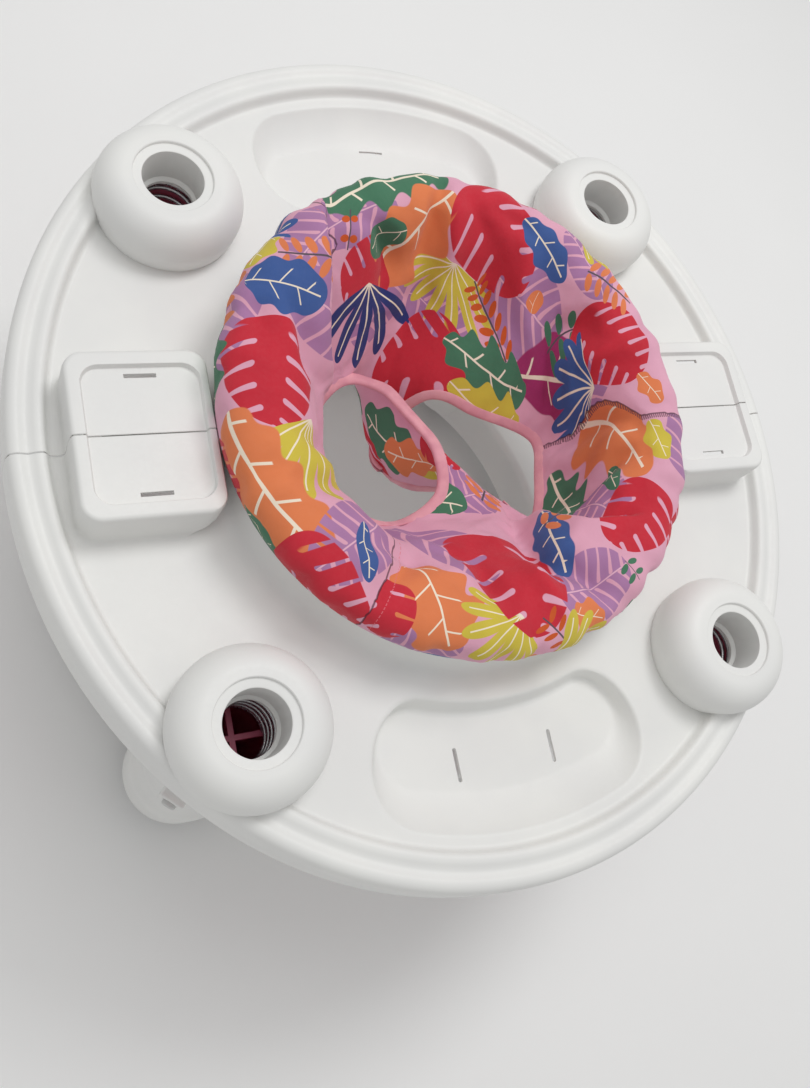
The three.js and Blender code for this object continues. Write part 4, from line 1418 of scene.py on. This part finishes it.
def cut_and_fold():
    """The cloth's flat points, its shaped points, its triangles and the leg holes' edges."""
    disc, faces, rims = seat_disc(CLOTH_STEP)
    points = shape_pan(disc, seat_surface(disc))
    s = np.hypot(disc[:, 0], disc[:, 1])
    gaps = [np.sqrt(((disc[:, None] - disc[rim][None]) ** 2).sum(2)).min(1) for rim in rims]
    to_hole = np.min(gaps, axis=0)
    keep = np.clip(1 - to_hole / 6, 0, 1) + np.clip((s - seat_total() + 12) / 6, 0, 1)
    keep = np.clip(keep, 0, 1)
    points = fold_cloth(disc, points, faces)
    points = relax(points, faces, 3, keep)
    points = simulate(points, faces, (to_hole < 3) | (s > seat_total() - 14))
    points = relax(points, faces, 1, keep)
    return disc, points, faces, rims


def panel_numbers(disc, faces):
    """Each triangle's material: 0 to 2 for the panels between the seams, 3 for the pan."""
    middles = np.array([disc[list(face)].mean(0) for face in faces])
    azimuth = np.degrees(np.arctan2(middles[:, 1], middles[:, 0]))
    out = np.hypot(middles[:, 0], middles[:, 1])
    past = [(azimuth - seam_azimuth(seam, out)) % 360 for seam in PANEL_SEAMS]
    panel = np.argmin(past, axis=0)
    panel[out < PAN_EDGE] = 3
    return panel.astype(np.int32)


def make_seat():
    """The printed cloth in one piece, and the tape round each leg hole."""
    disc, points, faces, rims = cut_and_fold()
    mesh = bpy.data.meshes.new("seat_fabric_cloth")
    mesh.from_pydata((points * MM).tolist(), [], faces)
    place = mesh.attributes.new("cloth", "FLOAT_VECTOR", "POINT")
    radius = np.hypot(points[:, 0], points[:, 1])
    place.data.foreach_set("vector", np.column_stack([disc, radius]).astype(np.float32).ravel())
    piece = place_object("seat_fabric_cloth", mesh)
    bm = bmesh.new()
    bm.from_mesh(mesh)
    if sum(f.normal.z for f in bm.faces) < 0:
        bmesh.ops.reverse_faces(bm, faces=bm.faces)
    bm.to_mesh(mesh)
    bm.free()
    back = make_print_material("print_back", BACK_LEAVES)
    finish_piece(piece, "seat", back, ["seat_fabric"], 60)
    piece.modifiers.clear()
    piece.data.materials.append(make_print_material("print_left", LEFT_LEAVES))
    piece.data.materials.append(make_print_material("print_front", FRONT_LEAVES))
    piece.data.materials.append(make_print_material("print_pan", PAN_LEAVES, on_pan=True))
    piece.data.polygons.foreach_set("material_index", panel_numbers(disc, faces))
    solidify(piece, CLOTH_THICKNESS)
    shade(piece, 60)
    normals = vertex_normals(points, faces)
    normals *= np.sign(normals[:, 2].sum())
    for side, rim in zip(("left", "right"), rims):
        toward = points[rim] + (points[rim] - points[rim].mean(0)) * 0.2
        make_binding(f"seat_binding_{side}", points, normals, rim, toward)


# ---------------------------------------------------------------- stage

TRAY_MIDDLE = Vector((0, 0, 0.4))
DAYLIGHT = 0.52                # strength of the even light from all sides
# Soft lights that face the tray: name, place, diameter and power.
LIGHTS = (
    ("key", (0.75, 0.7, 2.65), 0.9, 18),
    ("top", (-0.1, 0.4, 2.7), 1.1, 9),
)
# The viewpoint: above the left front of the tray, looking down past its middle, rolled to the left.
CAMERA_AT = (-0.3787, -0.2823, 1.1067)
CAMERA_RIGHT = Vector((0.91262, -0.20049, 0.35626))
CAMERA_FORWARD = Vector((0.39738, 0.23057, -0.88822))
SENSOR_WIDTH = 36
FOCAL_LENGTH = 31.77


def area_light(name, at, size, power):
    light = bpy.data.lights.new(name, "AREA")
    light.shape = "DISK"
    light.size = size
    light.energy = power
    lamp = place_object(name, light)
    lamp.location = at
    lamp.rotation_euler = (TRAY_MIDDLE - Vector(at)).to_track_quat("-Z", "Y").to_euler()


def make_stage():
    """A plain pale floor under soft light."""
    bpy.ops.mesh.primitive_plane_add(size=30, location=(0, 0, -0.0005))
    floor = bpy.context.object
    floor.name = "floor"
    material, t, shader = new_material("pale_floor")
    place = t.node("TexCoord").outputs["Object"]
    tone = t.mix(t.noise(place, 3.0), rgba(250, 250, 249), rgba(246, 246, 245))
    t.link(tone, shader.inputs["Base Color"])
    shader.inputs["Roughness"].default_value = 0.9
    floor.data.materials.append(material)
    world = bpy.data.worlds.new("studio")
    world.use_nodes = True
    sky = world.node_tree.nodes["Background"]
    sky.inputs["Color"].default_value = (1.0, 1.0, 1.0, 1.0)
    sky.inputs["Strength"].default_value = DAYLIGHT
    bpy.context.scene.world = world
    for light in LIGHTS:
        area_light(*light)
    bpy.context.scene.view_settings.view_transform = "Standard"


def make_camera():
    camera = bpy.data.cameras.new("camera")
    camera.sensor_width = SENSOR_WIDTH
    camera.lens = FOCAL_LENGTH
    camera.clip_start = 0.01
    rig = place_object("camera", camera)
    up = CAMERA_RIGHT.cross(CAMERA_FORWARD)
    turn = Matrix((CAMERA_RIGHT, up, -CAMERA_FORWARD)).transposed().to_4x4()
    rig.matrix_world = Matrix.Translation(CAMERA_AT) @ turn
    bpy.context.scene.camera = rig


make_camera()
make_stage()
make_tray()
make_domes()
make_seam_plates()
make_base()
make_step_stops()
make_sleeves()
make_posts()
make_springs()
make_casters()
make_seat_ring()
make_seat()
